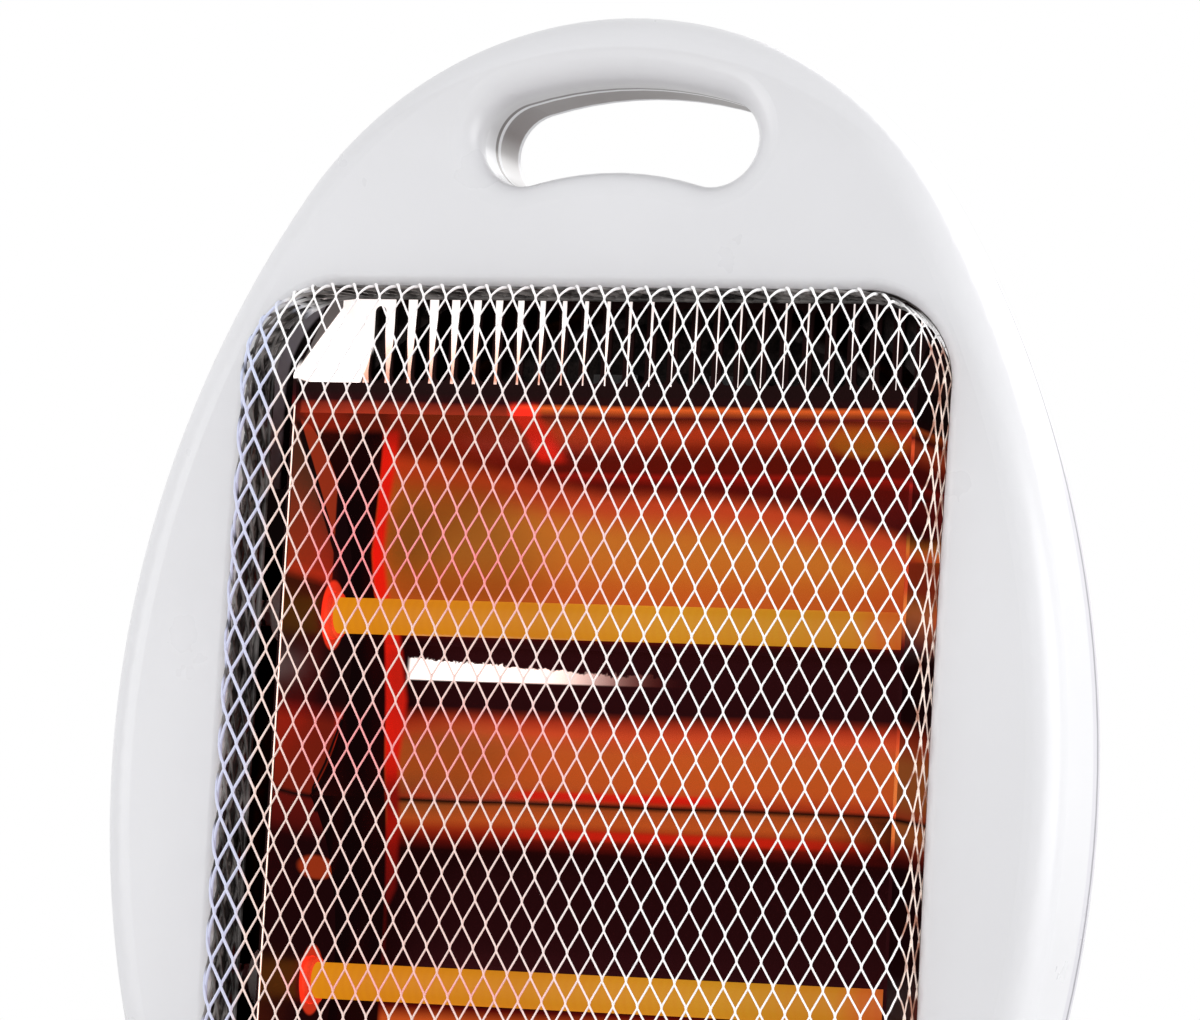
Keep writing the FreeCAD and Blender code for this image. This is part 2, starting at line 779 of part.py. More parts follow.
def reflector_section():
    """Closed section of one reflector, from the seam flange to the slotted panel."""
    low_centre, low_radius = trough_centre(trough_y, trough_rise, seam_y, 0)
    high_centre, high_radius = trough_centre(trough_y, trough_rise, lip_y, lip_rise)
    shelf = lip_rise + lip_height
    top = shelf + panel_height

    def at(y, rise):
        return V(-reflector_half_length, y, window_mid_z + rise)

    def on_arc(centre, radius, rise):
        return at(centre + math.sqrt(radius ** 2 - (rise - trough_rise) ** 2), rise)

    def arc(centre, radius, start, end):
        a0 = math.atan2(start.z - window_mid_z - trough_rise, start.y - centre)
        a1 = math.atan2(end.z - window_mid_z - trough_rise, end.y - centre)
        turn = (a0 + a1) / 2
        middle = at(centre + radius * math.cos(turn), trough_rise + radius * math.sin(turn))
        return Part.Arc(start, middle, end).toShape()

    t = reflector_sheet
    seam_front = at(seam_y, 0)
    seam_back = on_arc(low_centre, low_radius + t, t)
    deep_front = at(trough_y, trough_rise)
    deep_back = at(trough_y + t, trough_rise)
    lip_front = at(lip_y, lip_rise)
    lip_back_rise = trough_rise + math.sqrt((high_radius + t) ** 2 - (lip_y + t - high_centre) ** 2)
    lip_back = at(lip_y + t, lip_back_rise)
    flange_end = seam_y + seam_flange
    edges = [Part.makeLine(at(flange_end, 0), seam_front),
             arc(low_centre, low_radius, seam_front, deep_front),
             arc(high_centre, high_radius, deep_front, lip_front)]
    front_run = [lip_front, at(lip_y, shelf), at(panel_y, shelf), at(panel_y, top), at(panel_y + t, top),
                 at(panel_y + t, shelf - t), at(lip_y + t, shelf - t), lip_back]
    edges += [Part.makeLine(a, b) for a, b in zip(front_run, front_run[1:])]
    edges += [arc(high_centre, high_radius + t, lip_back, deep_back),
              arc(low_centre, low_radius + t, deep_back, seam_back),
              Part.makeLine(seam_back, at(flange_end, t)),
              Part.makeLine(at(flange_end, t), at(flange_end, 0))]
    return Part.Face(Part.Wire(edges))


def upper_reflector():
    """Bent polished sheet: trough, front lip, shelf and slotted panel."""
    sheet = reflector_section().extrude(V(2 * reflector_half_length, 0, 0))
    slot_z = window_mid_z + lip_rise + lip_height + slot_lift + slot_height / 2
    for i in range(slot_count):
        x = (i - (slot_count - 1) / 2) * slot_pitch
        cut = prism(obround(slot_width, slot_height, x, slot_z, panel_y - overrun), 2 * overrun)
        sheet = sheet.cut(cut)
    return sheet


def mirrored(shape):
    """The same piece below the middle of the window."""
    return shape.mirror(V(0, 0, window_mid_z), Z_AXIS)


def side_plate(sign):
    """End plate of the reflector with the tube holes and two ears."""
    front = lip_y - plate_margin
    back = trough_y + reflector_sheet + plate_margin
    shelf = lip_rise + lip_height + plate_margin
    top = lip_rise + lip_height + panel_height
    slope_end = panel_y + reflector_sheet
    half = [V(0, front, shelf), V(0, slope_end - plate_top_edge, top), V(0, slope_end, top),
            V(0, slope_end, plate_shoulder_rise), V(0, back, plate_back_rise)]
    points = half + [V(0, p.y, -p.z) for p in reversed(half)]
    inner = sign * reflector_half_length
    points = [V(inner, p.y, window_mid_z + p.z) for p in points]
    plate = Part.Face(Part.makePolygon(points + points[:1])).extrude(V(sign * plate_sheet, 0, 0))
    along_x = [e for e in plate.Edges if abs(e.tangentAt(e.FirstParameter).x) > aligned_share]
    plate = plate.makeFillet(plate_corner, along_x)
    hole = cap_neck_radius + plate_hole_clearance
    through = sign * overrun
    for rise in (-tube_rise, tube_rise):
        z = window_mid_z + rise
        plate = plate.cut(rod(hole, V(inner - through, tube_y, z), V(inner + through, tube_y, z)))
    for x, z in ear_places():
        if x * sign > 0:
            ends = sorted((inner, inner + sign * ear_reach))
            ear = box(ends[0], ends[1], ear_y, ear_y + plate_sheet, z - ear_width / 2, z + ear_width / 2)
            plate = plate.fuse(ear)
            plate = plate.cut(rod(clearance_hole_radius, V(x, ear_y - overrun, z),
                                  V(x, ear_y + overrun, z)))
    return plate.removeSplitter()


def quartz_tube(rise):
    """Open quartz tube."""
    half = tube_length / 2
    z = window_mid_z + rise
    glass = rod(tube_radius, V(-half, tube_y, z), V(half, tube_y, z))
    return glass.cut(rod(tube_bore_radius, V(-half, tube_y, z), V(half, tube_y, z)))


def heating_coil(rise):
    """Close-wound coil as a sleeve with its two straight tails."""
    half = coil_length / 2
    z = window_mid_z + rise
    coil = rod(coil_radius, V(-half, tube_y, z), V(half, tube_y, z))
    coil = coil.cut(rod(coil_core_radius, V(-half, tube_y, z), V(half, tube_y, z)))
    reach = reflector_half_length + plate_sheet + cap_length
    for sign in (-1, 1):
        tail = rod(tail_radius, V(sign * (half - coil_core_radius), tube_y, z), V(sign * reach, tube_y, z))
        disc = rod(coil_core_radius + tail_radius / 2, V(sign * (half - tail_radius), tube_y, z),
                   V(sign * half, tube_y, z))
        coil = coil.fuse(disc).fuse(tail)
    return coil.removeSplitter()


def end_cap(sign, rise):
    """Ceramic cap: a neck through the side plate, a collar inside it and a body outside it."""
    z = window_mid_z + rise
    inner = reflector_half_length - cap_collar
    outside = reflector_half_length + plate_sheet
    end = outside + cap_length

    def at(x):
        return V(sign * x, tube_y, z)

    cap = rod(cap_neck_radius, at(inner), at(end))
    cap = cap.fuse(rod(cap_radius, at(outside), at(end)))
    tip = [e for e in cap.Edges if abs(abs(e.CenterOfMass.x) - end) < cap_clearance]
    cap = cap.makeFillet(cap_collar / 2, tip)
    cap = cap.cut(rod(tube_radius + cap_clearance, at(inner), at(tube_length / 2 + cap_clearance)))
    return cap.cut(rod(tail_radius + cap_clearance, at(inner), at(end)))


def tube_terminals():
    """A threaded stud and two nuts at the outer end of each cap."""
    pieces = []
    cap_end = reflector_half_length + plate_sheet + cap_length
    for sign in (-1, 1):
        for rise in (-tube_rise, tube_rise):
            start = V(sign * cap_end, tube_y, window_mid_z + rise)
            along = X_AXIS * sign
            pieces.append(rod(stud_radius, start, start + along * stud_length))
            for i in (0, 1):
                seat = start + along * (i * (nut_height + plate_sheet))
                pieces.append(hex_nut(nut_across, nut_height, stud_radius, seat, along))
    return Part.makeCompound(pieces)


def switch_pivot(sign):
    """Middle of the rocker's pin."""
    return V(sign * switch_x, back_y + bezel_thickness - rocker_pivot_depth, switch_z)


def switch_body(sign):
    """Rocker switch: bezel on the back face, block through the cut-out, hollow for the rocker."""
    x = sign * switch_x
    bezel = box(x - bezel_half_width, x + bezel_half_width, back_y, back_y + bezel_thickness,
                switch_z - bezel_half_height, switch_z + bezel_half_height)
    bezel = bezel.makeFillet(bezel_corner, [e for e in bezel.Edges
                                            if e.BoundBox.YMin > back_y + bezel_thickness / 2])
    block = box(x - switch_half_width, x + switch_half_width,
                back_y - switch_depth, back_y + bezel_corner / 2,
                switch_z - switch_half_height, switch_z + switch_half_height)
    body = bezel.fuse(block)
    pivot = switch_pivot(sign)
    half_w = rocker_half_width + rocker_gap
    half_h = rocker_half_height + rocker_gap + rocker_dip / 2
    body = body.cut(box(x - half_w, x + half_w, pivot.y - rocker_cavity, back_y + overrun,
                        switch_z - half_h, switch_z + half_h))
    hole = rod(rocker_pin_radius + rocker_pin_clearance, V(x - switch_half_width, pivot.y, pivot.z),
               V(x + switch_half_width, pivot.y, pivot.z))
    body = body.cut(hole)
    back = back_y - switch_depth
    for i in (-1, 0, 1):
        z = switch_z + i * switch_tab_z
        body = body.fuse(box(x - switch_tab_width / 2, x + switch_tab_width / 2, back - switch_tab_length,
                             back, z, z + switch_tab_thickness))
    return body.removeSplitter()


def rocker(sign):
    """Rocker with a shallow V top, tilted to its rest position on its pin."""
    pivot = switch_pivot(sign)
    left = pivot.x - rocker_half_width

    def at(z, y):
        return V(left, pivot.y + y, pivot.z + z)

    points = [at(-rocker_half_height, rocker_reach), at(0, rocker_reach - rocker_dip),
              at(rocker_half_height, rocker_reach), at(rocker_half_height, 0),
              at(rocker_keel, -rocker_drop), at(-rocker_keel, -rocker_drop), at(-rocker_half_height, 0)]
    body = Part.Face(Part.makePolygon(points + points[:1])).extrude(V(2 * rocker_half_width, 0, 0))
    pin = rod(rocker_pin_radius, V(pivot.x - rocker_pin_end, pivot.y, pivot.z),
              V(pivot.x + rocker_pin_end, pivot.y, pivot.z))
    body = body.fuse(pin)
    body.rotate(pivot, X_AXIS, -rocker_tilt)
    return body


def cord_gland():
    """Bushing of the cord inlet, with a flange on each side of the wall."""
    inner_back = back_y - wall

    def at(y):
        return V(inlet_x, y, inlet_z)

    outer_end = back_y + inlet_flange + inlet_nose
    body = rod(inlet_neck_radius, at(inner_back - inlet_inner_flange), at(back_y + inlet_flange))
    flange = rod(inlet_flange_radius, at(back_y), at(back_y + inlet_flange))
    flange_edge = [e for e in flange.Edges if e.BoundBox.YMin > back_y + inlet_flange / 2]
    flange = flange.makeFillet(inlet_flange / 2, flange_edge)
    nose = Part.makeCone(inlet_neck_radius, inlet_nose_radius, inlet_nose,
                         at(back_y + inlet_flange), Y_AXIS)
    inner = rod(inlet_inner_flange_radius, at(inner_back - inlet_inner_flange), at(inner_back))
    body = body.fuse(flange).fuse(nose).fuse(inner)
    body = body.cut(rod(inlet_bore_radius, at(inner_back - inlet_inner_flange), at(outer_end)))
    return body.removeSplitter()


def clamp_face():
    """Depth of the face that the cord clamp is screwed to."""
    return back_y - wall - clamp_post_length


def cord_clamp():
    """Bar across the cord's path, on two posts."""
    y = clamp_face()
    reach = clamp_post_x + clamp_bar_overhang
    bar = box(inlet_x - reach, inlet_x + reach, y - clamp_bar_thickness, y,
              inlet_z - clamp_bar_half_height, inlet_z + clamp_bar_half_height)
    ends = [e for e in bar.Edges if abs(e.tangentAt(e.FirstParameter).y) > aligned_share]
    bar = bar.makeFillet(clamp_bar_thickness / 2, ends)
    for sign in (-1, 1):
        x = inlet_x + sign * clamp_post_x
        bar = bar.cut(rod(clearance_hole_radius, V(x, y - overrun, inlet_z), V(x, y + overrun, inlet_z)))
    return bar


def cord_clamp_screws():
    """Two screws that hold the cord clamp."""
    y = clamp_face() - clamp_bar_thickness
    places = [V(inlet_x + sign * clamp_post_x, y, inlet_z) for sign in (-1, 1)]
    return Part.makeCompound([pan_screw(place, Y_AXIS, short_screw_length) for place in places])


def terminal_block():
    """Three-way block with wire holes and clamping screw wells."""
    back = back_y - wall
    start = block_x - block_length / 2
    pitch = block_length / block_ways
    block = box(start, start + block_length, back - block_thickness, back,
                block_z - block_height / 2, block_z + block_height / 2)
    for i in range(block_ways):
        x = start + pitch * (i + 1 / 2)
        block = block.cut(rod(block_hole_radius, V(x, back - block_thickness / 2, block_z - block_height),
                              V(x, back - block_thickness / 2, block_z + block_height)))
        for sign in (-1, 1):
            z = block_z + sign * block_height / 4
            block = block.cut(rod(block_screw_radius, V(x, back - block_thickness - overrun, z),
                                  V(x, back - block_thickness / 2, z)))
        if i:
            edge = start + pitch * i
            block = block.cut(box(edge - block_groove / 2, edge + block_groove / 2,
                                  back - block_thickness, back - block_thickness + block_groove,
                                  block_z - block_height, block_z + block_height))
    return block


def thermal_cutout():
    """Disc thermostat on the outside of the left side plate."""
    seat = -(reflector_half_length + plate_sheet)

    def at(x, y):
        return V(seat - x, tube_y + y, window_mid_z)

    body = rod(cutout_flange_radius, at(0, 0), at(cutout_flange, 0))
    disc = rod(cutout_radius, at(0, 0), at(cutout_thickness, 0))
    body = body.fuse(disc)
    for sign in (-1, 1):
        y = tube_y + sign * cutout_pin_spread
        x = seat - cutout_thickness
        body = body.fuse(box(x - cutout_pin_length, x, y, y + cutout_pin_thickness,
                             window_mid_z - cutout_pin_width / 2, window_mid_z + cutout_pin_width / 2))
    return body.removeSplitter()


def reflector_screws():
    """Four screws through the ears of the side plates."""
    return Part.makeCompound([pan_screw(V(x, ear_y + plate_sheet, z), -Y_AXIS, short_screw_length)
                              for x, z in ear_places()])


def housing_screws():
    """Four screws that hold the rear housing, in counterbores of the shoulder."""
    y = shoulder_y - counterbore_depth
    return Part.makeCompound([pan_screw(V(x, y, z), -Y_AXIS, housing_screw_length)
                              for x, z in screw_places()])


def foot_oval(z, grow):
    """Outline of the foot at height z."""
    return oval_wire(foot_half_depth + grow, foot_half_length + grow, foot_end_radius + grow,
                     lambda u, w: V(w, u, z))


def collar_oval(z):
    """Outline of the collar's top round the body."""
    mid_y = (collar_front_y + collar_back_y) / 2
    return oval_wire((collar_back_y - collar_front_y) / 2, collar_half_length, collar_end_radius,
                     lambda u, w: V(w, mid_y + u, z))


def pocket_block():
    """The lower end of the body, grown by the pocket's gap."""
    block = front_block(pocket_gap, front_edge_radius)
    limit = box(-body_half_width - overrun, body_half_width + overrun, face_y - overrun,
                shoulder_y + pocket_gap, body_seat_z, collar_top_z + overrun)
    start = face_y + face_bow
    long_block = prism(body_oval(start, pocket_gap), shoulder_y + pocket_gap - start)
    return block.fuse(long_block).common(limit)


def pad_places():
    """Where the rubber pads sit."""
    return [(sx * pad_x, sy * pad_depth_y) for sx in (-1, 1) for sy in (-1, 1)]


def base_foot():
    """Foot: a wide rounded plate that sweeps up into a collar round the body, hollow below."""
    skirt = Part.Face(foot_oval(foot_clear, 0)).extrude(V(0, 0, foot_edge_z - foot_clear))
    edge = [e for e in skirt.Edges if e.BoundBox.ZMin > foot_edge_z - pick_margin]
    skirt = skirt.makeFillet(foot_edge_radius, edge)
    hill = Part.makeLoft([foot_oval(foot_edge_z, -foot_edge_radius - foot_land),
                          collar_oval(collar_top_z)], True, True)
    rim = [e for e in hill.Edges if e.BoundBox.ZMin > collar_top_z - pick_margin]
    hill = hill.makeFillet(collar_edge_radius, rim)
    foot = skirt.fuse(hill)

    keep = []
    for x, y in pad_places():
        keep.append(rod(pad_radius + pad_socket_wall, V(x, y, foot_clear), V(x, y, foot_cavity_top)))
    for sign in (-1, 1):
        x = sign * base_screw_x
        keep.append(rod(screw_head_radius + guide_wall, V(x, plunger_y, foot_clear + foot_wall),
                        V(x, plunger_y, foot_cavity_top)))
    keep.append(rod(plunger_radius + guide_wall, V(plunger_x, plunger_y, foot_clear + foot_wall),
                    V(plunger_x, plunger_y, foot_cavity_top)))
    for i in range(rib_count):
        x = (i - (rib_count - 1) / 2) * rib_spacing
        keep.append(box(x - rib_thickness / 2, x + rib_thickness / 2, -foot_half_depth, foot_half_depth,
                        foot_clear + foot_wall, foot_cavity_top))
    cavity = Part.Face(foot_oval(foot_clear, -foot_wall)).extrude(V(0, 0, foot_cavity_top - foot_clear))
    for piece in keep:
        cavity = cavity.cut(piece)
    foot = foot.cut(cavity)

    foot = foot.cut(pocket_block())
    for x, y in pad_places():
        foot = foot.cut(rod(pad_radius + pad_gap, V(x, y, 0), V(x, y, pad_height)))
    for sign in (-1, 1):
        x = sign * base_screw_x
        foot = foot.cut(rod(clearance_hole_radius, V(x, plunger_y, 0),
                            V(x, plunger_y, body_seat_z + overrun)))
    guide = plunger_radius + plunger_guide_clearance
    foot = foot.cut(rod(guide, V(plunger_x, plunger_y, 0), V(plunger_x, plunger_y, body_seat_z + overrun)))
    return foot.removeSplitter()


def foot_pads():
    """Four rubber pads."""
    pads = []
    for x, y in pad_places():
        pad = rod(pad_radius, V(x, y, 0), V(x, y, pad_height))
        low = [e for e in pad.Edges if e.BoundBox.ZMax < pad_height / 2]
        pads.append(pad.makeChamfer(pad_edge, low))
    return Part.makeCompound(pads)


def base_screws():
    """Two screws from below through the foot into the body."""
    return Part.makeCompound([pan_screw(V(sign * base_screw_x, plunger_y, foot_clear + foot_wall), Z_AXIS,
                                        base_screw_length + foot_wall) for sign in (-1, 1)])


def bracket_floor():
    """Height of the body floor that the bracket stands on."""
    return body_seat_z + wall


def tip_over_plunger():
    """Push rod with the collar that the spring bears on; its tip is level with the pads at rest."""
    pin = rod(plunger_radius, V(plunger_x, plunger_y, 0), V(plunger_x, plunger_y, plunger_top_z))
    ends = [e for e in pin.Edges if e.Curve.TypeId == "Part::GeomCircle"]
    pin = pin.makeFillet(plunger_radius / 4, ends)
    return pin.fuse(rod(plunger_collar_radius, V(plunger_x, plunger_y, collar_z),
                        V(plunger_x, plunger_y, collar_z + plunger_collar)))


def plunger_spring():
    """Compression spring between the plunger's collar and the bracket's top."""
    low = collar_z + plunger_collar + spring_wire_radius
    high = bracket_top_z - bracket_sheet - spring_wire_radius
    helix = Part.makeHelix((high - low) / spring_turns, high - low, spring_mean_radius)
    helix.translate(V(plunger_x, plunger_y, low))
    corners = []
    for i in range(spring_wire_sides + 1):
        a = 2 * math.pi * i / spring_wire_sides
        x = plunger_x + spring_mean_radius + spring_wire_radius * math.cos(a)
        corners.append(V(x, plunger_y, low + spring_wire_radius * math.sin(a)))
    return Part.Wire(helix.Edges).makePipeShell([Part.makePolygon(corners)], True, True)


def tip_over_bracket():
    """Folded bracket: two feet, two legs, a top with the rod's hole and a tab for the switch."""
    floor = bracket_floor()
    half = bracket_half_width
    y0 = plunger_y - bracket_half_depth
    y1 = plunger_y + bracket_half_depth
    top = bracket_top_z
    bracket = box(plunger_x - half, plunger_x + half, y0, y1, top - bracket_sheet, top)
    for sign in (-1, 1):
        ends = sorted((plunger_x + sign * half, plunger_x + sign * (half - bracket_sheet)))
        bracket = bracket.fuse(box(ends[0], ends[1], y0, y1, floor, top))
        ends = sorted((plunger_x + sign * (half - bracket_sheet), plunger_x + sign * (half + bracket_foot)))
        bracket = bracket.fuse(box(ends[0], ends[1], y0, y1, floor, floor + bracket_sheet))
        x = plunger_x + sign * (half + bracket_foot / 2)
        bracket = bracket.cut(rod(clearance_hole_radius, V(x, plunger_y, floor - overrun),
                                  V(x, plunger_y, floor + overrun)))
    tab_end = plunger_x + microswitch_length / 2
    bracket = bracket.fuse(box(plunger_x - half, tab_end, y1 - bracket_sheet, y1, top, bracket_tab_z))
    hole = rod(plunger_radius + plunger_guide_clearance, V(plunger_x, plunger_y, floor),
               V(plunger_x, plunger_y, top + overrun))
    return bracket.cut(hole).removeSplitter()


def microswitch_start():
    """Left end of the switch body, so that the lever's tip is over the rod."""
    return plunger_x - lever_reach - microswitch_pin_inset


def lever_pivot():
    """Middle of the lever's pin."""
    return V(plunger_x - lever_reach, switch_mid_y(), lever_z + lever_thickness + lever_eye_radius)


def switch_mid_y():
    """Depth of the middle of the switch body, which lies against the bracket's tab."""
    return plunger_y + bracket_half_depth - bracket_sheet - microswitch_depth / 2


def tip_over_switch():
    """Small snap switch with two cheeks that hold the lever's pin, and its button."""
    x0 = microswitch_start()
    y = switch_mid_y()
    half = microswitch_depth / 2
    top = microswitch_z + microswitch_height
    body = box(x0, x0 + microswitch_length, y - half, y + half, microswitch_z, top)
    pivot = lever_pivot()
    inner = lever_width / 2 + lever_side_gap
    for sign in (-1, 1):
        ends = sorted((y + sign * inner, y + sign * (inner + lever_cheek)))
        cheek = box(pivot.x - lever_eye_radius, pivot.x + lever_eye_radius, ends[0], ends[1],
                    pivot.z - lever_eye_radius, microswitch_z)
        body = body.fuse(cheek)
    hole = rod(lever_pin_radius + lever_pin_clearance, V(pivot.x, y - half, pivot.z),
               V(pivot.x, y + half, pivot.z))
    body = body.cut(hole)
    button_x = x0 + microswitch_length / 2
    clear = lever_z + lever_thickness + lever_side_gap
    body = body.fuse(rod(microswitch_button, V(button_x, y, clear), V(button_x, y, microswitch_z)))
    for i in (-1, 0, 1):
        x = button_x + i * (microswitch_length / 3)
        body = body.fuse(box(x - lever_cheek, x + lever_cheek, y - switch_tab_thickness / 2,
                             y + switch_tab_thickness / 2, top, top + lever_cheek * 2))
    return body.removeSplitter()


def tip_over_lever():
    """Lever that rests over the plunger and follows it down."""
    pivot = lever_pivot()
    y = pivot.y
    half = lever_width / 2
    strip = box(pivot.x, plunger_x + lever_overhang, y - half, y + half, lever_z, lever_z + lever_thickness)
    eye = rod(lever_eye_radius - lever_side_gap, V(pivot.x, y - half, pivot.z),
              V(pivot.x, y + half, pivot.z))
    web = box(pivot.x - lever_eye_radius / 2, pivot.x + lever_eye_radius / 2, y - half, y + half,
              lever_z, pivot.z)
    pin_half = lever_width / 2 + lever_side_gap + lever_cheek
    pin = rod(lever_pin_radius, V(pivot.x, y - pin_half, pivot.z), V(pivot.x, y + pin_half, pivot.z))
    return strip.fuse(web).fuse(eye).fuse(pin).removeSplitter()


def tip_over_screws():
    """Two screws that hold the bracket to the body floor."""
    reach = bracket_half_width + bracket_foot / 2
    z = bracket_floor() + bracket_sheet
    return Part.makeCompound([pan_screw(V(plunger_x + sign * reach, plunger_y, z), -Z_AXIS, wall)
                              for sign in (-1, 1)])


def write(name, shape):
    """One sub-part to its own file."""
    if not shape.isValid():
        print("not valid:", name)
    shape.exportStep("parts/" + name + ".step")


def main():
    os.makedirs("parts", exist_ok=True)
    write("front_housing", front_housing())
    write("rear_housing", rear_housing())
    write("grille_frame", grille_frame())
    write("grille_mesh", grille_mesh())
    reflector = upper_reflector()
    write("upper_reflector", reflector)
    write("lower_reflector", mirrored(reflector))
    for side, sign in (("left", -1), ("right", 1)):
        write(side + "_side_plate", side_plate(sign))
        write(side + "_switch_body", switch_body(sign))
        write(side + "_rocker", rocker(sign))
        for level, rise in (("upper", tube_rise), ("lower", -tube_rise)):
            write(level + "_" + side + "_end_cap", end_cap(sign, rise))
    for level, rise in (("upper", tube_rise), ("lower", -tube_rise)):
        write(level + "_quartz_tube", quartz_tube(rise))
        write(level + "_heating_coil", heating_coil(rise))
    write("tube_terminals", tube_terminals())
    write("cord_gland", cord_gland())
    write("cord_clamp", cord_clamp())
    write("cord_clamp_screws", cord_clamp_screws())
    write("terminal_block", terminal_block())
    write("thermal_cutout", thermal_cutout())
    write("reflector_screws", reflector_screws())
    write("housing_screws", housing_screws())
    write("base_foot", base_foot())
    write("foot_pads", foot_pads())
    write("base_screws", base_screws())
    write("tip_over_plunger", tip_over_plunger())
    write("plunger_spring", plunger_spring())
    write("tip_over_bracket", tip_over_bracket())
    write("tip_over_switch", tip_over_switch())
    write("tip_over_lever", tip_over_lever())
    write("tip_over_screws", tip_over_screws())


main()
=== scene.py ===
import json
import math

import bmesh
import bpy
from mathutils import Matrix, Vector


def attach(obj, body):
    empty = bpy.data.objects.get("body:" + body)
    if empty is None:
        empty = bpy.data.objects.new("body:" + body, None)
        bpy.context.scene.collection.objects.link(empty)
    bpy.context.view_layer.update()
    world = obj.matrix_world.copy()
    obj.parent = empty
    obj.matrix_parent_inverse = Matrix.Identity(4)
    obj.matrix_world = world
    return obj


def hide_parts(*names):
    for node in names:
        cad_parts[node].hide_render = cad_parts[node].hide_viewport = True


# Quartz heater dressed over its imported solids. Metres; X to the right, -Y out of the front, Z up.

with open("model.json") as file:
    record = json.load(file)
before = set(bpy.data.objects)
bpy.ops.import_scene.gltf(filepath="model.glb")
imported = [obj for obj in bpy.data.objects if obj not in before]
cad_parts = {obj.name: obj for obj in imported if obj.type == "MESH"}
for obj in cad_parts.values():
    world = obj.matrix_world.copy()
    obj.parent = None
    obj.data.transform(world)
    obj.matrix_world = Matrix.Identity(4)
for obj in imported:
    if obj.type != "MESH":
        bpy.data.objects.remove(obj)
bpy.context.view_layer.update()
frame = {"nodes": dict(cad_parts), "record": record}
nodes = frame["nodes"]
root_body = "heater"

# Window and guard, in metres
window_mid_z = 0.200
window_half_width = 0.099
window_half_height = 0.137
window_corner = 0.025
guard_gap = 0.0005
guard_half_width = window_half_width - guard_gap
guard_half_height = window_half_height - guard_gap
guard_corner = window_corner - guard_gap
guard_front_y = -0.056
guard_bend = 0.0036
guard_flank_end_y = -0.033

# Length of the guard's sheet round its bend, and from the bend's start to the flank's end
guard_arc = guard_bend * math.pi / 2
guard_reach = guard_arc + guard_flank_end_y - guard_front_y - guard_bend

# Strands: thin on the front, bolder round the bend and the flanks, finest round the right one
strand_radius = 0.00028
flank_strand_radius = 0.00045
right_strand_radius = 0.00021
right_flank_x = 0.090
bold_from_x = -0.084
bold_over_x = 0.006
strand_sides = 6
layer_offset = 0.00024
knot_radius = 0.00040
knot_length = 0.00075
knot_level = 0.55
hem_radius = 0.0008
hem_corner_steps = 8

# Lattice of the guard: columns along x, half rows down the sheet, both counted from its middle.
# The sheet was pulled unevenly, so its cells widen a little to the right.
middle_column = 9.186
middle_row = 15.709
column_step = 0.006618
row_step = 0.006486
column_growth = 0.0000076
shear_growth = 0.0000055
lean_growth = 0.0000091
row_growth = 0.0000036

# Stops of a strand between two knots, as shares: a steep neck at each end, more stops on the bend
neck_share = 0.11
neck_slope = 0.5
bend_stops = (0.32, 0.5, 0.68)

# Paint, in millimetres. The rise is counted from the seam between the troughs, at the window's middle.
# Ramps over a length run from -paint_reach to paint_reach. The hand-hold's walls lie within a circle
# about a point on the middle line, and the inner surfaces of both housings within an ellipse.
paint_reach = 150.0
straight_half_width = 1000.0 * (window_half_width - window_corner)
straight_half_height = 1000.0 * (window_half_height - window_corner)
corner_reach = 1000.0 * window_corner
hand_hold_arc_rise = 87.2
hand_hold_reach = 116.0
shell_radii = (131.0, 204.0)
shell_mid_rise = 5.0

# Depths of the housings' stretches, and soft edges, which are pairs: where a mask is 0 and where it is 1
front_shell_y = (-31.0, -6.4)
rear_shell_y = (-6.4, 33.5)
side_shade_y = (-14.0, -5.5)
side_seam_y = (-10.4, -8.9)
hold_seam_y = (-24.6, -22.6)
hold_lining_y = (-20.6, -7.0)
window_wall_edge = (corner_reach + 0.8, corner_reach + 0.3)
window_wall_end_y = (-5.6, -6.2)
facing_front_edge = (0.0, -0.04)
side_edge_x = (60.0, 90.0)
side_edge_reach = (30.0, 31.0)
hold_edge_reach = (hand_hold_reach + 1.0, hand_hold_reach)
hold_edge_rise = (150.0, 156.0)
hold_upper_rise = (172.0, 184.0)
funnel_fade_y = (-42.0, -25.5)
funnel_end_y = (-23.0, -24.0)

# Guard's soft edges
guard_front_fade_y = (-50.0, -54.0)
guard_flank_fade_y = (-53.6, -52.0)
guard_left_fade_x = (-86.0, -90.0)
guard_right_bend_x = (94.6, 96.4)
guard_right_bend_y = (-55.4, -54.2)
guard_top_fade_rise = (131.0, 134.5)

# Slotted band, side plates, tubes and caps
slot_pitch = 6.4
slotted_band_rise = (112.6, 138.5)
plate_top_rise = (111.9, 112.6)
plate_front_rise = (106.0, 104.0)
plate_front_y = (-37.9, -38.3)
plate_rim_y = (-38.6, -38.8)
left_rim_x = (-88.40, -88.25)
left_outer_x = (-89.1, -89.3)
right_outer_x = (87.5, 88.3)
left_side_x = (1.0, -1.0)
tube_rise = 50.5
tube_span = 190.0
flare_mid_y = -3.0
flare_radii = (8.6, 9.6)
glow_cap_x = (91.0, 88.0)

# Border between the troughs' bands and the crown: level in the middle, higher to the left, bowed down
# to the right
border_rise = 86.0
border_left_x = -10.0
border_left_slope = 0.15
border_right_x = 6.0
border_right_bow = 0.0021

# x that the photograph's line of sight gains for each y, and the coil's wave, in radians for a millimetre
view_slant = 0.364
coil_wave = 2.6

# Light that the pieces give off or pass on: the tubes glow, and the troughs, plates, caps and guard give
# off painted glow that stands in for reflected light and glints
sheet_light = 1.05
sheet_base_light = 0.38
rim_light_share = 0.64
left_light_share = 0.38
quartz_light = 0.85
ceramic_light = 0.5
guard_light = 0.2

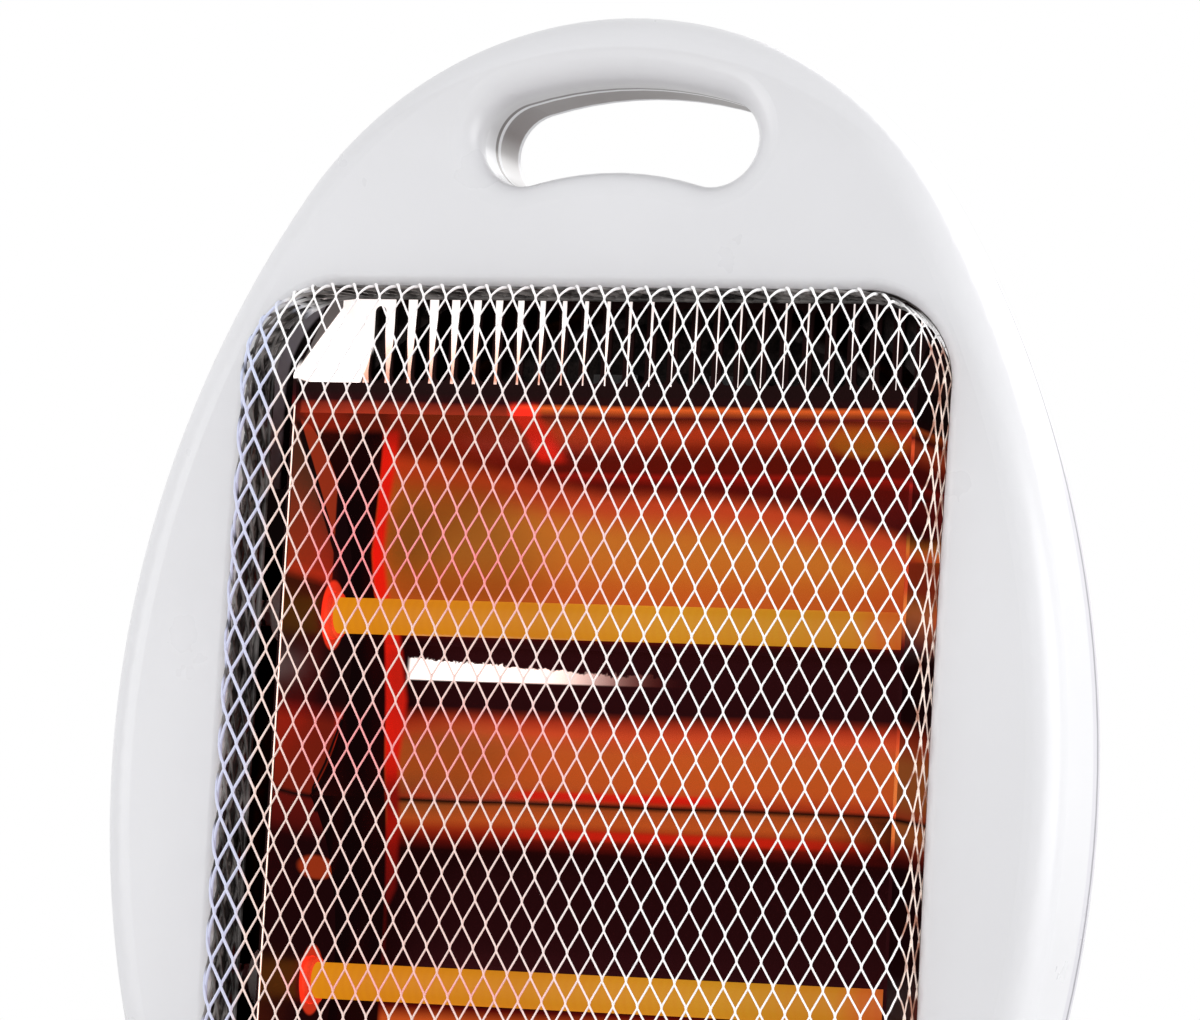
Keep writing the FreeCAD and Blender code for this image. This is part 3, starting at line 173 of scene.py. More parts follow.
# Lamps (name, place, size, power), world, floor and camera
lamp_target = Vector((0.0, 0.0, 0.22))
lamps = (
    ("key", Vector((2.0, -0.3, 0.4)), 1.8, 25.0),
    ("fill", Vector((-1.6, -1.6, 0.15)), 1.8, 23.0),
    ("back", Vector((0.4, 1.6, 1.4)), 1.4, 9.0))
world_level = 0.68
floor_half = 6.0
camera_place = Vector((0.56765, -1.59301, 0.1220))
camera_yaw = 20.0
camera_pitch = 5.383
camera_roll = 3.2075
camera_lens = 186.337


# Values and colours of a material

class Value:
    """Number or colour that varies over a surface: a node's output that takes plain arithmetic."""

    def __init__(self, socket):
        self.socket = socket

    def __add__(self, other):
        return maths("ADD", self, other)

    def __sub__(self, other):
        return maths("SUBTRACT", self, other)

    def __rsub__(self, other):
        return maths("SUBTRACT", other, self)

    def __mul__(self, other):
        return maths("MULTIPLY", self, other)

    def __truediv__(self, other):
        return maths("DIVIDE", self, other)


def new_node(value, kind):
    """Node in the same tree as a value."""
    return value.socket.id_data.nodes.new(kind)


def feed(socket, source):
    """Give a socket a value, a colour or a number."""
    if isinstance(source, Value):
        socket.id_data.links.new(source.socket, socket)
    elif isinstance(source, tuple):
        socket.default_value = (*source, 1.0)
    else:
        socket.default_value = source


def maths(operation, a, b=None, clamp=False):
    """Math node; a and b are values or numbers, and one of them is a value."""
    node = new_node(a if isinstance(a, Value) else b, "ShaderNodeMath")
    node.operation = operation
    node.use_clamp = clamp
    feed(node.inputs[0], a)
    if b is not None:
        feed(node.inputs[1], b)
    return Value(node.outputs[0])


def greater(a, b):
    """The greater of two."""
    return maths("MAXIMUM", a, b)


def size_of(value):
    """Value without its sign."""
    return maths("ABSOLUTE", value)


def distance(u, v):
    """Length of an offset along two axes."""
    return maths("SQRT", u * u + v * v)


def step(value, start, end):
    """0 at start, 1 at end, smooth between."""
    node = new_node(value, "ShaderNodeMapRange")
    node.interpolation_type = "SMOOTHSTEP"
    feed(node.inputs["From Min"], start)
    feed(node.inputs["From Max"], end)
    feed(node.inputs["Value"], value)
    return Value(node.outputs["Result"])


def band(value, low, high, soft):
    """1 between low and high, with soft edges."""
    half = soft / 2
    return step(value, low - half, low + half) * step(value, high + half, high - half)


def spot(a, b, centre, radii, soft):
    """Soft ellipse over two coordinates."""
    reach = distance((a - centre[0]) / radii[0], (b - centre[1]) / radii[1])
    return step(reach, 1.0 + soft, 1.0 - soft)


def axes(vector):
    """Three parts of a vector."""
    split = new_node(vector, "ShaderNodeSeparateXYZ")
    feed(split.inputs[0], vector)
    return [Value(output) for output in split.outputs]


def grey(level):
    """Colour without a hue."""
    return (level, level, level)


def tone(red, green, blue):
    """Linear colour of an sRGB tone from 0 to 255."""
    shares = (channel / 255.0 for channel in (red, green, blue))
    return tuple(s / 12.92 if s <= 0.04045 else ((s + 0.055) / 1.055) ** 2.4 for s in shares)


def mix(mask, under, over):
    """Colour that is under where the mask is 0 and over where it is 1."""
    factor, first, second, result = 0, 6, 7, 2
    node = new_node(mask, "ShaderNodeMix")
    node.data_type = "RGBA"
    feed(node.inputs[factor], mask)
    feed(node.inputs[first], under)
    feed(node.inputs[second], over)
    return Value(node.outputs[result])


def ramp(value, stops):
    """Colour ramp with (position, colour) stops."""
    node = new_node(value, "ShaderNodeValToRGB")
    elements = node.color_ramp.elements
    while len(elements) < len(stops):
        elements.new(1.0)
    for element, (position, colour) in zip(elements, stops):
        element.position = position
        element.color = (*colour, 1.0)
    feed(node.inputs["Fac"], value)
    return Value(node.outputs["Color"])


def length_ramp(length, stops):
    """Colour ramp over a length within the paint's reach, with (length, colour) stops."""
    share = maths("DIVIDE", length + paint_reach, 2 * paint_reach, clamp=True)
    return ramp(share, [((place + paint_reach) / (2 * paint_reach), colour) for place, colour in stops])


def profile(length, low, high, points):
    """Value between low and high that follows (length, value) points."""
    stops = [(place, grey((value - low) / (high - low))) for place, value in points]
    return length_ramp(length, stops) * (high - low) + low


class Paint:
    """Material whose colour is laid coat over coat, in object coordinates, which are the frame's own."""

    def __init__(self, name):
        self.material = bpy.data.materials.new(name)
        self.material.use_nodes = True
        tree = self.material.node_tree
        self.shader = tree.nodes["Principled BSDF"]
        coordinates = tree.nodes.new("ShaderNodeTexCoord")
        self.place = Value(coordinates.outputs["Object"])
        self.normal = Value(coordinates.outputs["Normal"])
        self.colour = None

    def millimetres(self):
        """x, y and the rise above the troughs' seam."""
        x, y, z = axes(self.place)
        return x * 1000.0, y * 1000.0, (z - window_mid_z) * 1000.0

    def noise(self, scale, detail=2.0, roughness=0.5):
        """Cloudy value from 0 to 1."""
        node = new_node(self.place, "ShaderNodeTexNoise")
        feed(node.inputs["Scale"], scale)
        feed(node.inputs["Detail"], detail)
        feed(node.inputs["Roughness"], roughness)
        feed(node.inputs["Vector"], self.place)
        return Value(node.outputs["Fac"])

    def wander(self, scale, reach):
        """Cloudy value around 0 with the given reach."""
        return (self.noise(scale) - 0.5) * (2.0 * reach)

    def lay(self, mask, colour):
        """Cover the colour so far where the mask is 1."""
        self.colour = mix(mask, self.colour, colour)

    def put(self, name, source):
        """Set or link one of the shader's inputs."""
        feed(self.shader.inputs[name], source)

    def gloss(self, scale, detail, low, high):
        """Roughness that drifts between two values."""
        self.put("Roughness", ramp(self.noise(scale, detail), [(0.3, grey(low)), (0.7, grey(high))]))

    def relief(self, scale, height, strength):
        """Fine unevenness of the surface."""
        node = new_node(self.place, "ShaderNodeBump")
        feed(node.inputs["Distance"], height)
        feed(node.inputs["Strength"], strength)
        feed(node.inputs["Height"], self.noise(scale))
        self.put("Normal", Value(node.outputs["Normal"]))

    def polish(self, bright, roughness):
        """Polished sheet with painted glow: its painted colour is also given off as light, standing in for
        the tubes' light it carries; all of it where bright is 1.
        """
        share = bright * (1.0 - sheet_base_light) + sheet_base_light
        self.put("Base Color", self.colour)
        self.put("Emission Color", mix(share, grey(0.0), self.colour))
        self.put("Emission Strength", sheet_light)
        self.put("Metallic", 1.0)
        self.put("Roughness", roughness)


# Plain materials

def speckled(name, low, high, scale, roughness, metallic=0.0, grain=0.00004, grain_scale=900.0):
    """Material whose colour drifts between two tones and whose surface has a fine grain."""
    paint = Paint(name)
    paint.put("Base Color", ramp(paint.noise(scale, 4.0), [(0.35, low), (0.65, high)]))
    paint.gloss(scale * 3, 3.0, roughness * 0.85, roughness * 1.15)
    paint.put("Metallic", metallic)
    paint.relief(grain_scale, grain, 0.5)
    return paint.material


def moulded_plastic(name, low, high, roughness):
    """Glossy moulding with faint flow marks and a fine orange peel."""
    paint = Paint(name)
    paint.put("Base Color", ramp(paint.noise(9.0, 3.0), [(0.3, low), (0.7, high)]))
    paint.put("Coat Weight", 0.25)
    paint.put("Coat Roughness", 0.12)
    paint.gloss(40.0, 4.0, roughness * 0.85, roughness * 1.2)
    paint.relief(420.0, 0.00006, 0.35)
    return paint.material


# Colours of the painted glow: the tubes' light reflected in the sheets, painted highlights, and the dark
# shade between the bands

shade_black = tone(24, 12, 12)
maroon = tone(34, 9, 11)
deep_red = tone(92, 20, 17)
brown_red = tone(146, 44, 24)
bright_red = tone(222, 40, 26)
red_orange = tone(184, 68, 36)
orange = tone(190, 100, 48)
ochre = tone(188, 110, 40)
lip_orange = tone(196, 82, 32)
highlight_white = tone(255, 246, 242)


# Reflector troughs

def trough_field(rise):
    """Painted glow reflections in the troughs below the crown, in bands: ochre, dark shade, orange, seam,
    and the lower trough alike.
    """
    return length_ramp(rise, [
        (-140.0, shade_black), (-106.0, shade_black), (-104.0, deep_red), (-98.0, brown_red), (-92.0, maroon),
        (-86.0, red_orange), (-72.0, ochre), (-60.0, orange), (-56.5, deep_red), (-55.0, maroon),
        (-13.0, maroon), (-10.5, deep_red), (-7.6, brown_red), (-4.5, orange), (-1.2, orange),
        (-0.8, shade_black), (0.7, shade_black), (1.1, red_orange), (5.0, orange), (15.0, orange), (20.0, red_orange),
        (23.5, brown_red), (26.5, maroon), (45.5, maroon), (47.5, deep_red), (56.0, orange),
        (66.0, ochre), (92.0, ochre)])


def trough_crown(x, rise):
    """Painted glow bands under the lip of the upper trough, and the dark lip itself."""
    right = length_ramp(rise, [
        (70.0, maroon), (88.6, deep_red), (90.0, tone(150, 30, 24)), (91.4, deep_red), (94.8, deep_red),
        (97.2, brown_red), (99.0, red_orange), (101.4, red_orange), (102.6, deep_red), (104.1, maroon),
        (104.6, lip_orange), (105.4, lip_orange), (106.0, maroon), (109.0, shade_black), (140.0, shade_black)])
    left = length_ramp(rise, [
        (90.0, deep_red), (94.0, tone(112, 26, 18)), (99.0, brown_red), (102.5, tone(126, 38, 22)),
        (105.4, tone(96, 28, 17)), (106.2, maroon), (109.0, shade_black), (140.0, shade_black)])
    return mix(step(x, -28.0, -20.0), left, right)


def lay_glow(paint, x, rise):
    """Painted glow reflections in both troughs and the crown over them, with darker and browner places."""
    waved = rise + paint.wander(16.0, 1.1)
    past_right = greater(x - border_right_x, 0.0)
    past_left = greater(border_left_x - x, 0.0)
    bow = past_right * past_right * border_right_bow
    below_border = past_left * border_left_slope + border_rise - bow - waved
    above_tube = step(rise, 50.0, 60.0)
    paint.colour = trough_field(waved)
    paint.lay(step(below_border, 13.0, 3.0) * above_tube, red_orange)
    paint.colour = mix(step(below_border, -2.5, 3.0), trough_crown(x, waved), paint.colour)
    far_right = step(x, 52.0, 86.0) * step(rise, 108.0, 102.0)
    paint.lay(far_right * band(rise, -12.0, -0.5, 2.0), maroon)
    paint.lay(far_right * above_tube * step(below_border, 4.0, 9.0) * 0.75, red_orange)
    upper_umber = spot(x, rise, (-56.0, 66.0), (24.0, 22.0), 0.5)
    lower_umber = spot(x, rise, (-54.0, 12.0), (20.0, 9.0), 0.6)
    paint.lay(upper_umber * above_tube * 0.7, tone(140, 86, 32))
    paint.lay(lower_umber * 0.65, tone(142, 84, 40))


def lay_bright_reflections(paint, x, rise):
    """Painted reflections of the glow: a red patch and a golden one under the lip, and red lines along the
    seam.
    """
    patch = step(x, -27.5, -24.5) * step(x, -16.0, -21.0) * band(rise, 93.5, 105.8, 3.0)
    gold = spot(x, rise, (70.0, 98.8), (11.0, 3.0), 0.4)
    over_seam = band(rise, 1.2, 3.6, 1.6) * band(x, -30.0, 30.0, 16.0)
    under_seam = band(rise, -9.0, -6.6, 1.6) * step(x, -46.0, -10.0) * step(x, 78.0, 40.0)
    paint.lay(patch, bright_red)
    paint.lay(gold, tone(178, 106, 34))
    paint.lay(over_seam, bright_red)
    paint.lay(under_seam, tone(196, 40, 26))


def lay_shine(paint, x, rise):
    """Painted highlight: a white reflection below the upper tube, ragged on top, that fades to the right.
    """
    ragged = rise + paint.wander(260.0, 1.0) + paint.wander(900.0, 1.3)
    edge = profile(x, 30.0, 50.0, [(-70.0, 40.6), (-48.0, 39.2), (-20.0, 37.6), (20.0, 36.8)])
    top = step(ragged - edge, 0.35, -0.35)
    shine = top * step(rise, 34.1, 34.7) * step(x, 12.0, -38.0) * step(x, -71.5, -70.0)
    near = mix(step(x, -58.0, -38.0), highlight_white, tone(248, 222, 212))
    paint.lay(shine, mix(step(x, -34.0, 6.0), near, tone(150, 66, 56)))
    return shine


def lay_left_end(paint, x, y, rise):
    """Painted shade on the dark left end of the troughs, and painted red glow on the strip where they meet
    it.
    """
    seen_x = x + y * view_slant
    strip_left = profile(rise, -100.0, -50.0, [
        (-60.0, -69.0), (-27.0, -69.1), (-3.1, -69.6), (11.0, -71.2), (28.3, -72.4), (46.4, -73.9),
        (58.0, -77.6), (69.0, -79.0), (81.5, -77.8), (98.8, -76.3)])
    strip_width = profile(rise, 0.0, 10.0, [
        (-30.0, 0.0), (-24.0, 2.8), (-3.1, 3.6), (11.0, 3.8), (28.3, 6.0), (46.4, 4.2), (69.0, 3.2),
        (81.5, 3.0), (98.8, 4.2), (106.0, 4.6)])
    into_strip = seen_x - strip_left
    below_crown = step(rise, 101.0, 98.5)
    strip = step(into_strip, -0.6, 0.6) * below_crown * step(strip_width - into_strip, -1.4, 0.8)
    paint.lay(step(into_strip, 0.6, -0.6) * below_crown, tone(26, 9, 11))
    paint.lay(strip, length_ramp(rise, [
        (-30.0, tone(110, 20, 18)), (0.0, tone(170, 30, 22)), (20.0, bright_red)]))


def lay_web_highlights(paint, x, rise):
    """Painted highlights on the polished webs of the slotted band: white at the left, thin lines to the
    right.
    """
    from_web = maths("MODULO", x + 100 * slot_pitch, slot_pitch) - slot_pitch / 2
    width = profile(x, 0.0, 2.0, [
        (-80.0, 1.9), (-60.0, 1.3), (-34.0, 0.8), (-4.0, 0.42), (20.0, 0.26), (80.0, 0.22)])
    taper = profile(rise, 0.0, 1.0, [
        (113.0, 0.9), (114.6, 0.45), (118.0, 0.3), (128.0, 0.75), (136.0, 1.0)])
    uneven = paint.wander(70.0, 0.45) + 1.0
    inside_web = width * taper * uneven - size_of(from_web)
    web_highlights = step(inside_web, -0.12, 0.12) * band(rise, *slotted_band_rise, 0.8)
    warm = length_ramp(rise, [
        (113.0, tone(240, 214, 204)), (116.0, tone(176, 118, 98)), (124.0, tone(226, 186, 170)),
        (131.0, highlight_white)])
    paint.lay(web_highlights, mix(step(x, -30.0, 4.0), warm, tone(244, 230, 226)))
    return web_highlights


def trough_paint():
    """Polished sheet of both troughs and the slotted band, with painted bands of glow, painted highlights
    and painted shade along it.
    """
    paint = Paint("polished_trough")
    x, y, rise = paint.millimetres()
    lay_glow(paint, x, rise)
    lay_bright_reflections(paint, x, rise)
    shine = lay_shine(paint, x, rise)
    lay_left_end(paint, x, y, rise)
    web_highlights = lay_web_highlights(paint, x, rise)
    # Painted reflection: a white patch on the left end of the slotted band.
    left_panel_highlight = step((rise - 114.0) * 0.34 - x, 81.5, 82.5) * step(rise, 112.0, 113.0)
    paint.lay(left_panel_highlight, highlight_white)
    paint.polish(greater(greater(web_highlights, left_panel_highlight), shine), 0.24)
    paint.relief(60.0, 0.0002, 0.3)
    return paint.material


# Side plates

def lay_facing_tubes(paint, y, rise):
    """Left plate as it faces the tubes, with their glow and shade painted on: slanted panes, the caps'
    flare, creases and an orange spot of glow.
    """
    paint.colour = length_ramp(rise + paint.wander(25.0, 0.8), [
        (-62.0, maroon), (-12.0, maroon), (-8.0, deep_red), (-1.2, tone(110, 24, 18)), (-0.8, shade_black),
        (0.8, shade_black), (1.2, tone(134, 36, 20)), (20.0, tone(128, 34, 20)), (23.5, deep_red), (26.0, maroon),
        (44.0, shade_black), (58.0, maroon), (60.5, tone(160, 46, 26)), (63.0, tone(136, 44, 26)),
        (74.0, tone(118, 46, 30)), (84.0, tone(96, 52, 34)), (98.0, tone(84, 46, 32)), (104.0, deep_red),
        (108.0, maroon), (111.5, shade_black)])
    upper_pane = band(rise, 60.0, 101.0, 2.0)
    slant = y + (rise - 64.6)
    paint.lay(step(slant, 1.6, 2.6) * upper_pane, tone(168, 56, 30))
    paint.lay(band(slant, -2.2, 2.2, 1.0) * upper_pane, shade_black)
    # Painted shade behind the tube, and a red lozenge of painted glow.
    behind_tube = step(y, -6.0, -4.6) * band(rise, 42.0, 100.5, 1.5)
    lozenge = spot(y, rise, (1.2, 88.0), (2.0, 5.0), 0.2)
    paint.lay(behind_tube, tone(26, 10, 12))
    paint.lay(lozenge, tone(196, 34, 24))
    for side in (1.0, -1.0):
        flare = spot(y, rise, (flare_mid_y, side * tube_rise), flare_radii, 0.06)
        paint.lay(flare, tone(232, 62, 34))
    lower_glow = step(y, 2.0, 4.2) * band(rise, 1.0, 24.0, 1.0)
    paint.lay(lower_glow, tone(176, 40, 24))
    bend_y = profile(rise, -30.0, 20.0, [(-4.0, -7.0), (1.7, -10.5), (9.2, -2.4), (21.6, 7.5), (23.0, 8.5)])
    crease = band(y - bend_y, -0.9, 0.9, 0.8) * band(rise, -4.5, 22.5, 1.0)
    glow_spot = spot(y, rise, (-4.5, -19.5), (13.0, 3.2), 0.2)
    paint.lay(crease, shade_black)
    paint.lay(glow_spot, tone(172, 58, 26))


def lay_outer_side(paint, x, rise):
    """Outer side of the right plate, with a painted reflection of the troughs' bands, and of the left one,
    in dark painted shade.
    """
    seen_rise = rise * 1.025 + 2.0
    outer = mix(step(seen_rise, 78.0, 71.0), trough_crown(x, seen_rise), trough_field(seen_rise))
    outer = mix(band(seen_rise, 60.0, 72.0, 6.0), outer, tone(166, 56, 30))
    paint.lay(step(x, *right_outer_x), outer)
    paint.lay(step(x, *left_outer_x), tone(16, 9, 9))


def plate_paint():
    """End plates: painted white highlights on the edge and top, painted red glow and dark shade where they
    face the tubes.
    """
    paint = Paint("polished_plate")
    x, y, rise = paint.millimetres()
    lay_facing_tubes(paint, y, rise)
    # Painted highlights on the top, and on the rim of the left plate's front edge.
    top = step(rise, *plate_top_rise) * step(rise - y * 0.7, 142.4, 141.4)
    paint.lay(top, highlight_white)
    front = step(y, *plate_front_y) * step(rise, *plate_front_rise)
    left = step(x, *left_side_x)
    rim = front * left * step(x, *left_rim_x) * step(y, *plate_rim_y)
    paint.lay(front, shade_black)
    paint.lay(rim, tone(238, 204, 190))
    lay_outer_side(paint, x, rise)
    # How much of the painted colour is given off as light: all on the top, more on the rim than on the rest
    # of the left plate.
    level = greater(rim * rim_light_share, left * left_light_share)
    paint.polish(greater(top, level), 0.3)
    paint.relief(80.0, 0.0002, 0.25)
    return paint.material


# Tubes and caps

def quartz_paint():
    """Hot tube: bands of the coil show through the glowing quartz."""
    paint = Paint("glowing_quartz")
    x = paint.millimetres()[0]
    along = maths("ADD", x / tube_span, 0.5, clamp=True)
    paint.colour = ramp(along, [
        (0.0, tone(240, 152, 12)), (0.16, tone(228, 142, 18)), (0.36, tone(206, 132, 22)),
        (0.52, tone(214, 148, 30)), (0.72, tone(196, 140, 30)), (0.84, tone(192, 126, 30)),
        (0.88, tone(192, 84, 32)), (0.93, tone(184, 66, 34)), (0.955, tone(122, 84, 26)),
        (1.0, tone(96, 60, 22))])
    turns = maths("SINE", x * coil_wave)
    duller = maths("ADD", turns * 0.05 + 0.25, paint.wander(24.0, 0.35), clamp=True)
    paint.lay(duller, tone(196, 110, 28))
    paint.put("Base Color", (0.12, 0.05, 0.008))
    paint.put("Emission Color", paint.colour)
    paint.put("Emission Strength", quartz_light)
    paint.put("Specular IOR Level", 0.12)
    paint.put("Roughness", 0.4)
    paint.relief(120.0, 0.0001, 0.2)
    return paint.material


def ceramic_paint():
    """Ceramic cap: a painted red glow, also given off as light, where it is inside the side plate; white
    outside.
    """
    paint = Paint("glow_lit_ceramic")
    inside = step(size_of(paint.millimetres()[0]), *glow_cap_x)
    cold = ramp(paint.noise(300.0, 3.0), [(0.3, (0.78, 0.76, 0.72)), (0.7, (0.86, 0.85, 0.82))])
    painted_glow = ramp(paint.noise(120.0), [(0.3, tone(214, 44, 24)), (0.7, tone(238, 74, 36))])
    paint.put("Base Color", mix(inside, cold, painted_glow))
    paint.put("Emission Color", mix(inside, grey(0.0), painted_glow))
    paint.put("Emission Strength", ceramic_light)
    paint.put("Roughness", 0.7)
    paint.relief(700.0, 0.00008, 0.5)
    return paint.material


# Guard

def guard_paint():
    """Bright strands that take up the glow behind them as painted reflection, and give off a faint painted
    glint; steel blue along the left flank, glow-lit cream scallops round the right bend, and painted shade
    on the left and top flanks.
    """
    paint = Paint("guard_steel")
    x, y, rise = paint.millimetres()
    paint.colour = ramp(paint.noise(60.0, 3.0), [(0.35, (0.93, 0.93, 0.94)), (0.65, (0.98, 0.98, 0.98))])
    front = step(y, *guard_front_fade_y)
    # Painted reflection of the glow: a cream tint on the front.
    warm_reflection = front * step(x, 34.0, -30.0) * step(rise, 116.0, 96.0)
    paint.lay(warm_reflection * 0.55, tone(226, 178, 156))
    # Painted reflection of the tubes' glow: pink bands by rise.
    painted_glow = length_ramp(rise, [(place, grey(level)) for place, level in (
        (-60.0, 0.0), (-52.0, 0.7), (-44.0, 0.1), (-4.0, 0.05), (6.0, 0.75), (18.0, 0.8), (26.0, 0.1),
        (42.0, 0.1), (58.0, 1.0), (76.0, 0.8), (92.0, 0.05))])
    near = front * step(x, 30.0, -20.0) * step(x, -82.0, -70.0)
    paint.lay(painted_glow * near * 0.9, tone(246, 128, 136))
    left = step(x, *guard_left_fade_x)
    paint.lay(left * 0.85, tone(196, 204, 232))
    # Painted glow light on the scallops round the right bend.
    right_bend = step(x, *guard_right_bend_x) * step(y, *guard_right_bend_y)
    glow_lit_scallops = ramp(paint.noise(150.0), [(0.40, tone(170, 118, 98)), (0.55, tone(250, 230, 218))])
    paint.lay(right_bend, glow_lit_scallops)
    # Painted shade on the left and top flanks.
    shaded_flank = step(y, *guard_flank_fade_y) * greater(left, step(rise, *guard_top_fade_rise))
    shade = ramp(paint.noise(90.0, 3.0), [(0.42, tone(34, 31, 30)), (0.62, tone(120, 116, 114))])
    paint.lay(shaded_flank, shade)
    paint.put("Base Color", paint.colour)
    # The strands' colour is also given off faintly as a painted glint.
    paint.put("Emission Color", paint.colour)
    paint.put("Emission Strength", guard_light)
    paint.put("Roughness", 0.32)
    paint.relief(1500.0, 0.00003, 0.5)
    return paint.material


# Housing

def past_straight(length, straight):
    """How far a place is past the straight stretch of the window's side, either way."""
    return greater(size_of(length) - straight, 0.0)


def inside_shell(paint, x, y, rise):
    """1 on the surfaces inside the two shells: all in the front one, those facing front in the rear one."""
    u = x / shell_radii[0]
    v = (rise - shell_mid_rise) / shell_radii[1]
    within = step(u * u + v * v, 1.0, 0.99)
    facing_front = step(axes(paint.normal)[1], *facing_front_edge)
    front_shell = within * band(y, *front_shell_y, 0.4)
    rear_shell = facing_front * (within * band(y, *rear_shell_y, 0.4))
    return greater(front_shell, rear_shell)


def lay_hand_hold(paint, hold, y, rise):
    """Shade of the hand-hold's funnel, its seam, and the lining behind it."""
    upper = step(rise, *hold_upper_rise)
    funnel = hold * step(y, *funnel_fade_y) * step(y, *funnel_end_y) * upper
    seam = hold * band(y, *hold_seam_y, 0.6)
    lining = hold * band(y, *hold_lining_y, 0.8)
    paint.lay(funnel * 0.4, tone(150, 144, 142))
    paint.lay(seam, tone(96, 86, 84))
    paint.lay(lining, mix(upper, tone(216, 214, 214), tone(118, 108, 106)))


def housing_paint():
    """Glossy white moulding; the wall inside the window is in the guard's shade, painted dark and blotchy,
    as are the shells' inner surfaces; grey painted shade on the sides near the seam, and painted shade in
    the hand-hold.
    """
    paint = Paint("housing_plastic")
    x, y, rise = paint.millimetres()
    paint.colour = ramp(paint.noise(9.0, 3.0), [(0.3, tone(225, 225, 228)), (0.7, tone(231, 231, 234))])
    reach = distance(past_straight(x, straight_half_width), past_straight(rise, straight_half_height))
    window_wall = step(reach, *window_wall_edge) * step(y, *window_wall_end_y)
    # Blotchy pattern of the painted shade inside the window and the shells.
    shade_blotches = paint.noise(110.0, 5.0, 0.7) + paint.wander(30.0, 0.15)
    paint.lay(window_wall, ramp(shade_blotches, [
        (0.40, tone(22, 20, 20)), (0.52, tone(62, 58, 56)), (0.58, tone(128, 124, 120)),
        (0.64, tone(34, 31, 30))]))
    from_arc = distance(x, rise - hand_hold_arc_rise)
    hold = step(from_arc, *hold_edge_reach) * step(rise, *hold_edge_rise)
    # Inner surfaces of the shells: painted dark shade, also made metallic so that they stay dark.
    inside = inside_shell(paint, x, y, rise) * (1.0 - hold)
    paint.lay(inside, ramp(shade_blotches, [
        (0.42, tone(8, 5, 5)), (0.58, tone(34, 27, 26)), (0.66, tone(12, 9, 9))]))
    # Grey painted shade on the side near the seam, and the seam's dark joint.
    side = step(size_of(x), *side_edge_x) * step(reach, *side_edge_reach)
    side_shade = side * band(y, *side_shade_y, 0.8)
    seam = side * band(y, *side_seam_y, 0.5)
    paint.lay(side_shade * 0.7, tone(208, 206, 214))
    paint.lay(seam, tone(150, 148, 156))
    lay_hand_hold(paint, hold, y, rise)
    paint.put("Base Color", paint.colour)
    paint.put("Metallic", inside)
    paint.put("Coat Weight", 0.12)
    paint.put("Coat Roughness", 0.2)
    paint.gloss(40.0, 4.0, 0.27, 0.36)
    paint.relief(420.0, 0.00005, 0.3)
    return paint.material


# Material of each slot

slot_materials = {
    "housing": housing_paint(),
    "foot": moulded_plastic("foot_plastic", tone(220, 220, 225), tone(226, 226, 230), 0.32),
    "guard": guard_paint(),
    "reflector": trough_paint(),
    "plate": plate_paint(),
    "quartz": quartz_paint(),
    "ceramic": ceramic_paint(),
    # The coil's orange colour stands in for its glow.
    "coil": speckled("coil_wire", (0.8, 0.25, 0.03), (0.95, 0.4, 0.06), 200.0, 0.5, 0.6),
    "fastener": speckled("zinc_steel", (0.50, 0.51, 0.53), (0.64, 0.65, 0.67), 120.0, 0.35, 1.0),
    "spring": speckled("spring_steel", (0.46, 0.47, 0.49), (0.60, 0.61, 0.62), 150.0, 0.3, 1.0),
    "switch": speckled("black_plastic", (0.012, 0.012, 0.013), (0.02, 0.02, 0.022), 40.0, 0.32,
                       grain=0.00005, grain_scale=1200.0),
    "rocker": speckled("rocker_plastic", (0.016, 0.016, 0.018), (0.026, 0.026, 0.028), 60.0, 0.25),
    "inlet": speckled("inlet_plastic", (0.014, 0.014, 0.014), (0.022, 0.022, 0.022), 60.0, 0.55),
    "block": speckled("white_plastic", (0.68, 0.68, 0.66), (0.76, 0.76, 0.74), 50.0, 0.45),
    "pad": speckled("pad_rubber", (0.014, 0.014, 0.014), (0.026, 0.026, 0.026), 120.0, 0.8,
                    grain=0.0001, grain_scale=700.0),
    "plunger": speckled("nylon", (0.66, 0.64, 0.58), (0.74, 0.72, 0.67), 70.0, 0.5)}
bracket_steel = speckled("sheet_steel", (0.52, 0.53, 0.55), (0.62, 0.63, 0.65), 50.0, 0.38, 1.0)


def dress(node, material):
    """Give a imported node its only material."""
    node.data.materials.clear()
    node.data.materials.append(material)


for entry in frame["record"]["subparts"]:
    dress(nodes[entry["node"]], slot_materials[entry["material_slot"]])
dress(nodes["tip_over_bracket"], bracket_steel)


# Mesh guard

def piece(name, mesh, material, body=root_body):
    """New object that rides on a body and takes its finish from a slot."""
    obj = bpy.data.objects.new(name, mesh)
    bpy.context.scene.collection.objects.link(obj)
    mesh.materials.append(material)
    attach(obj, body)
    return obj


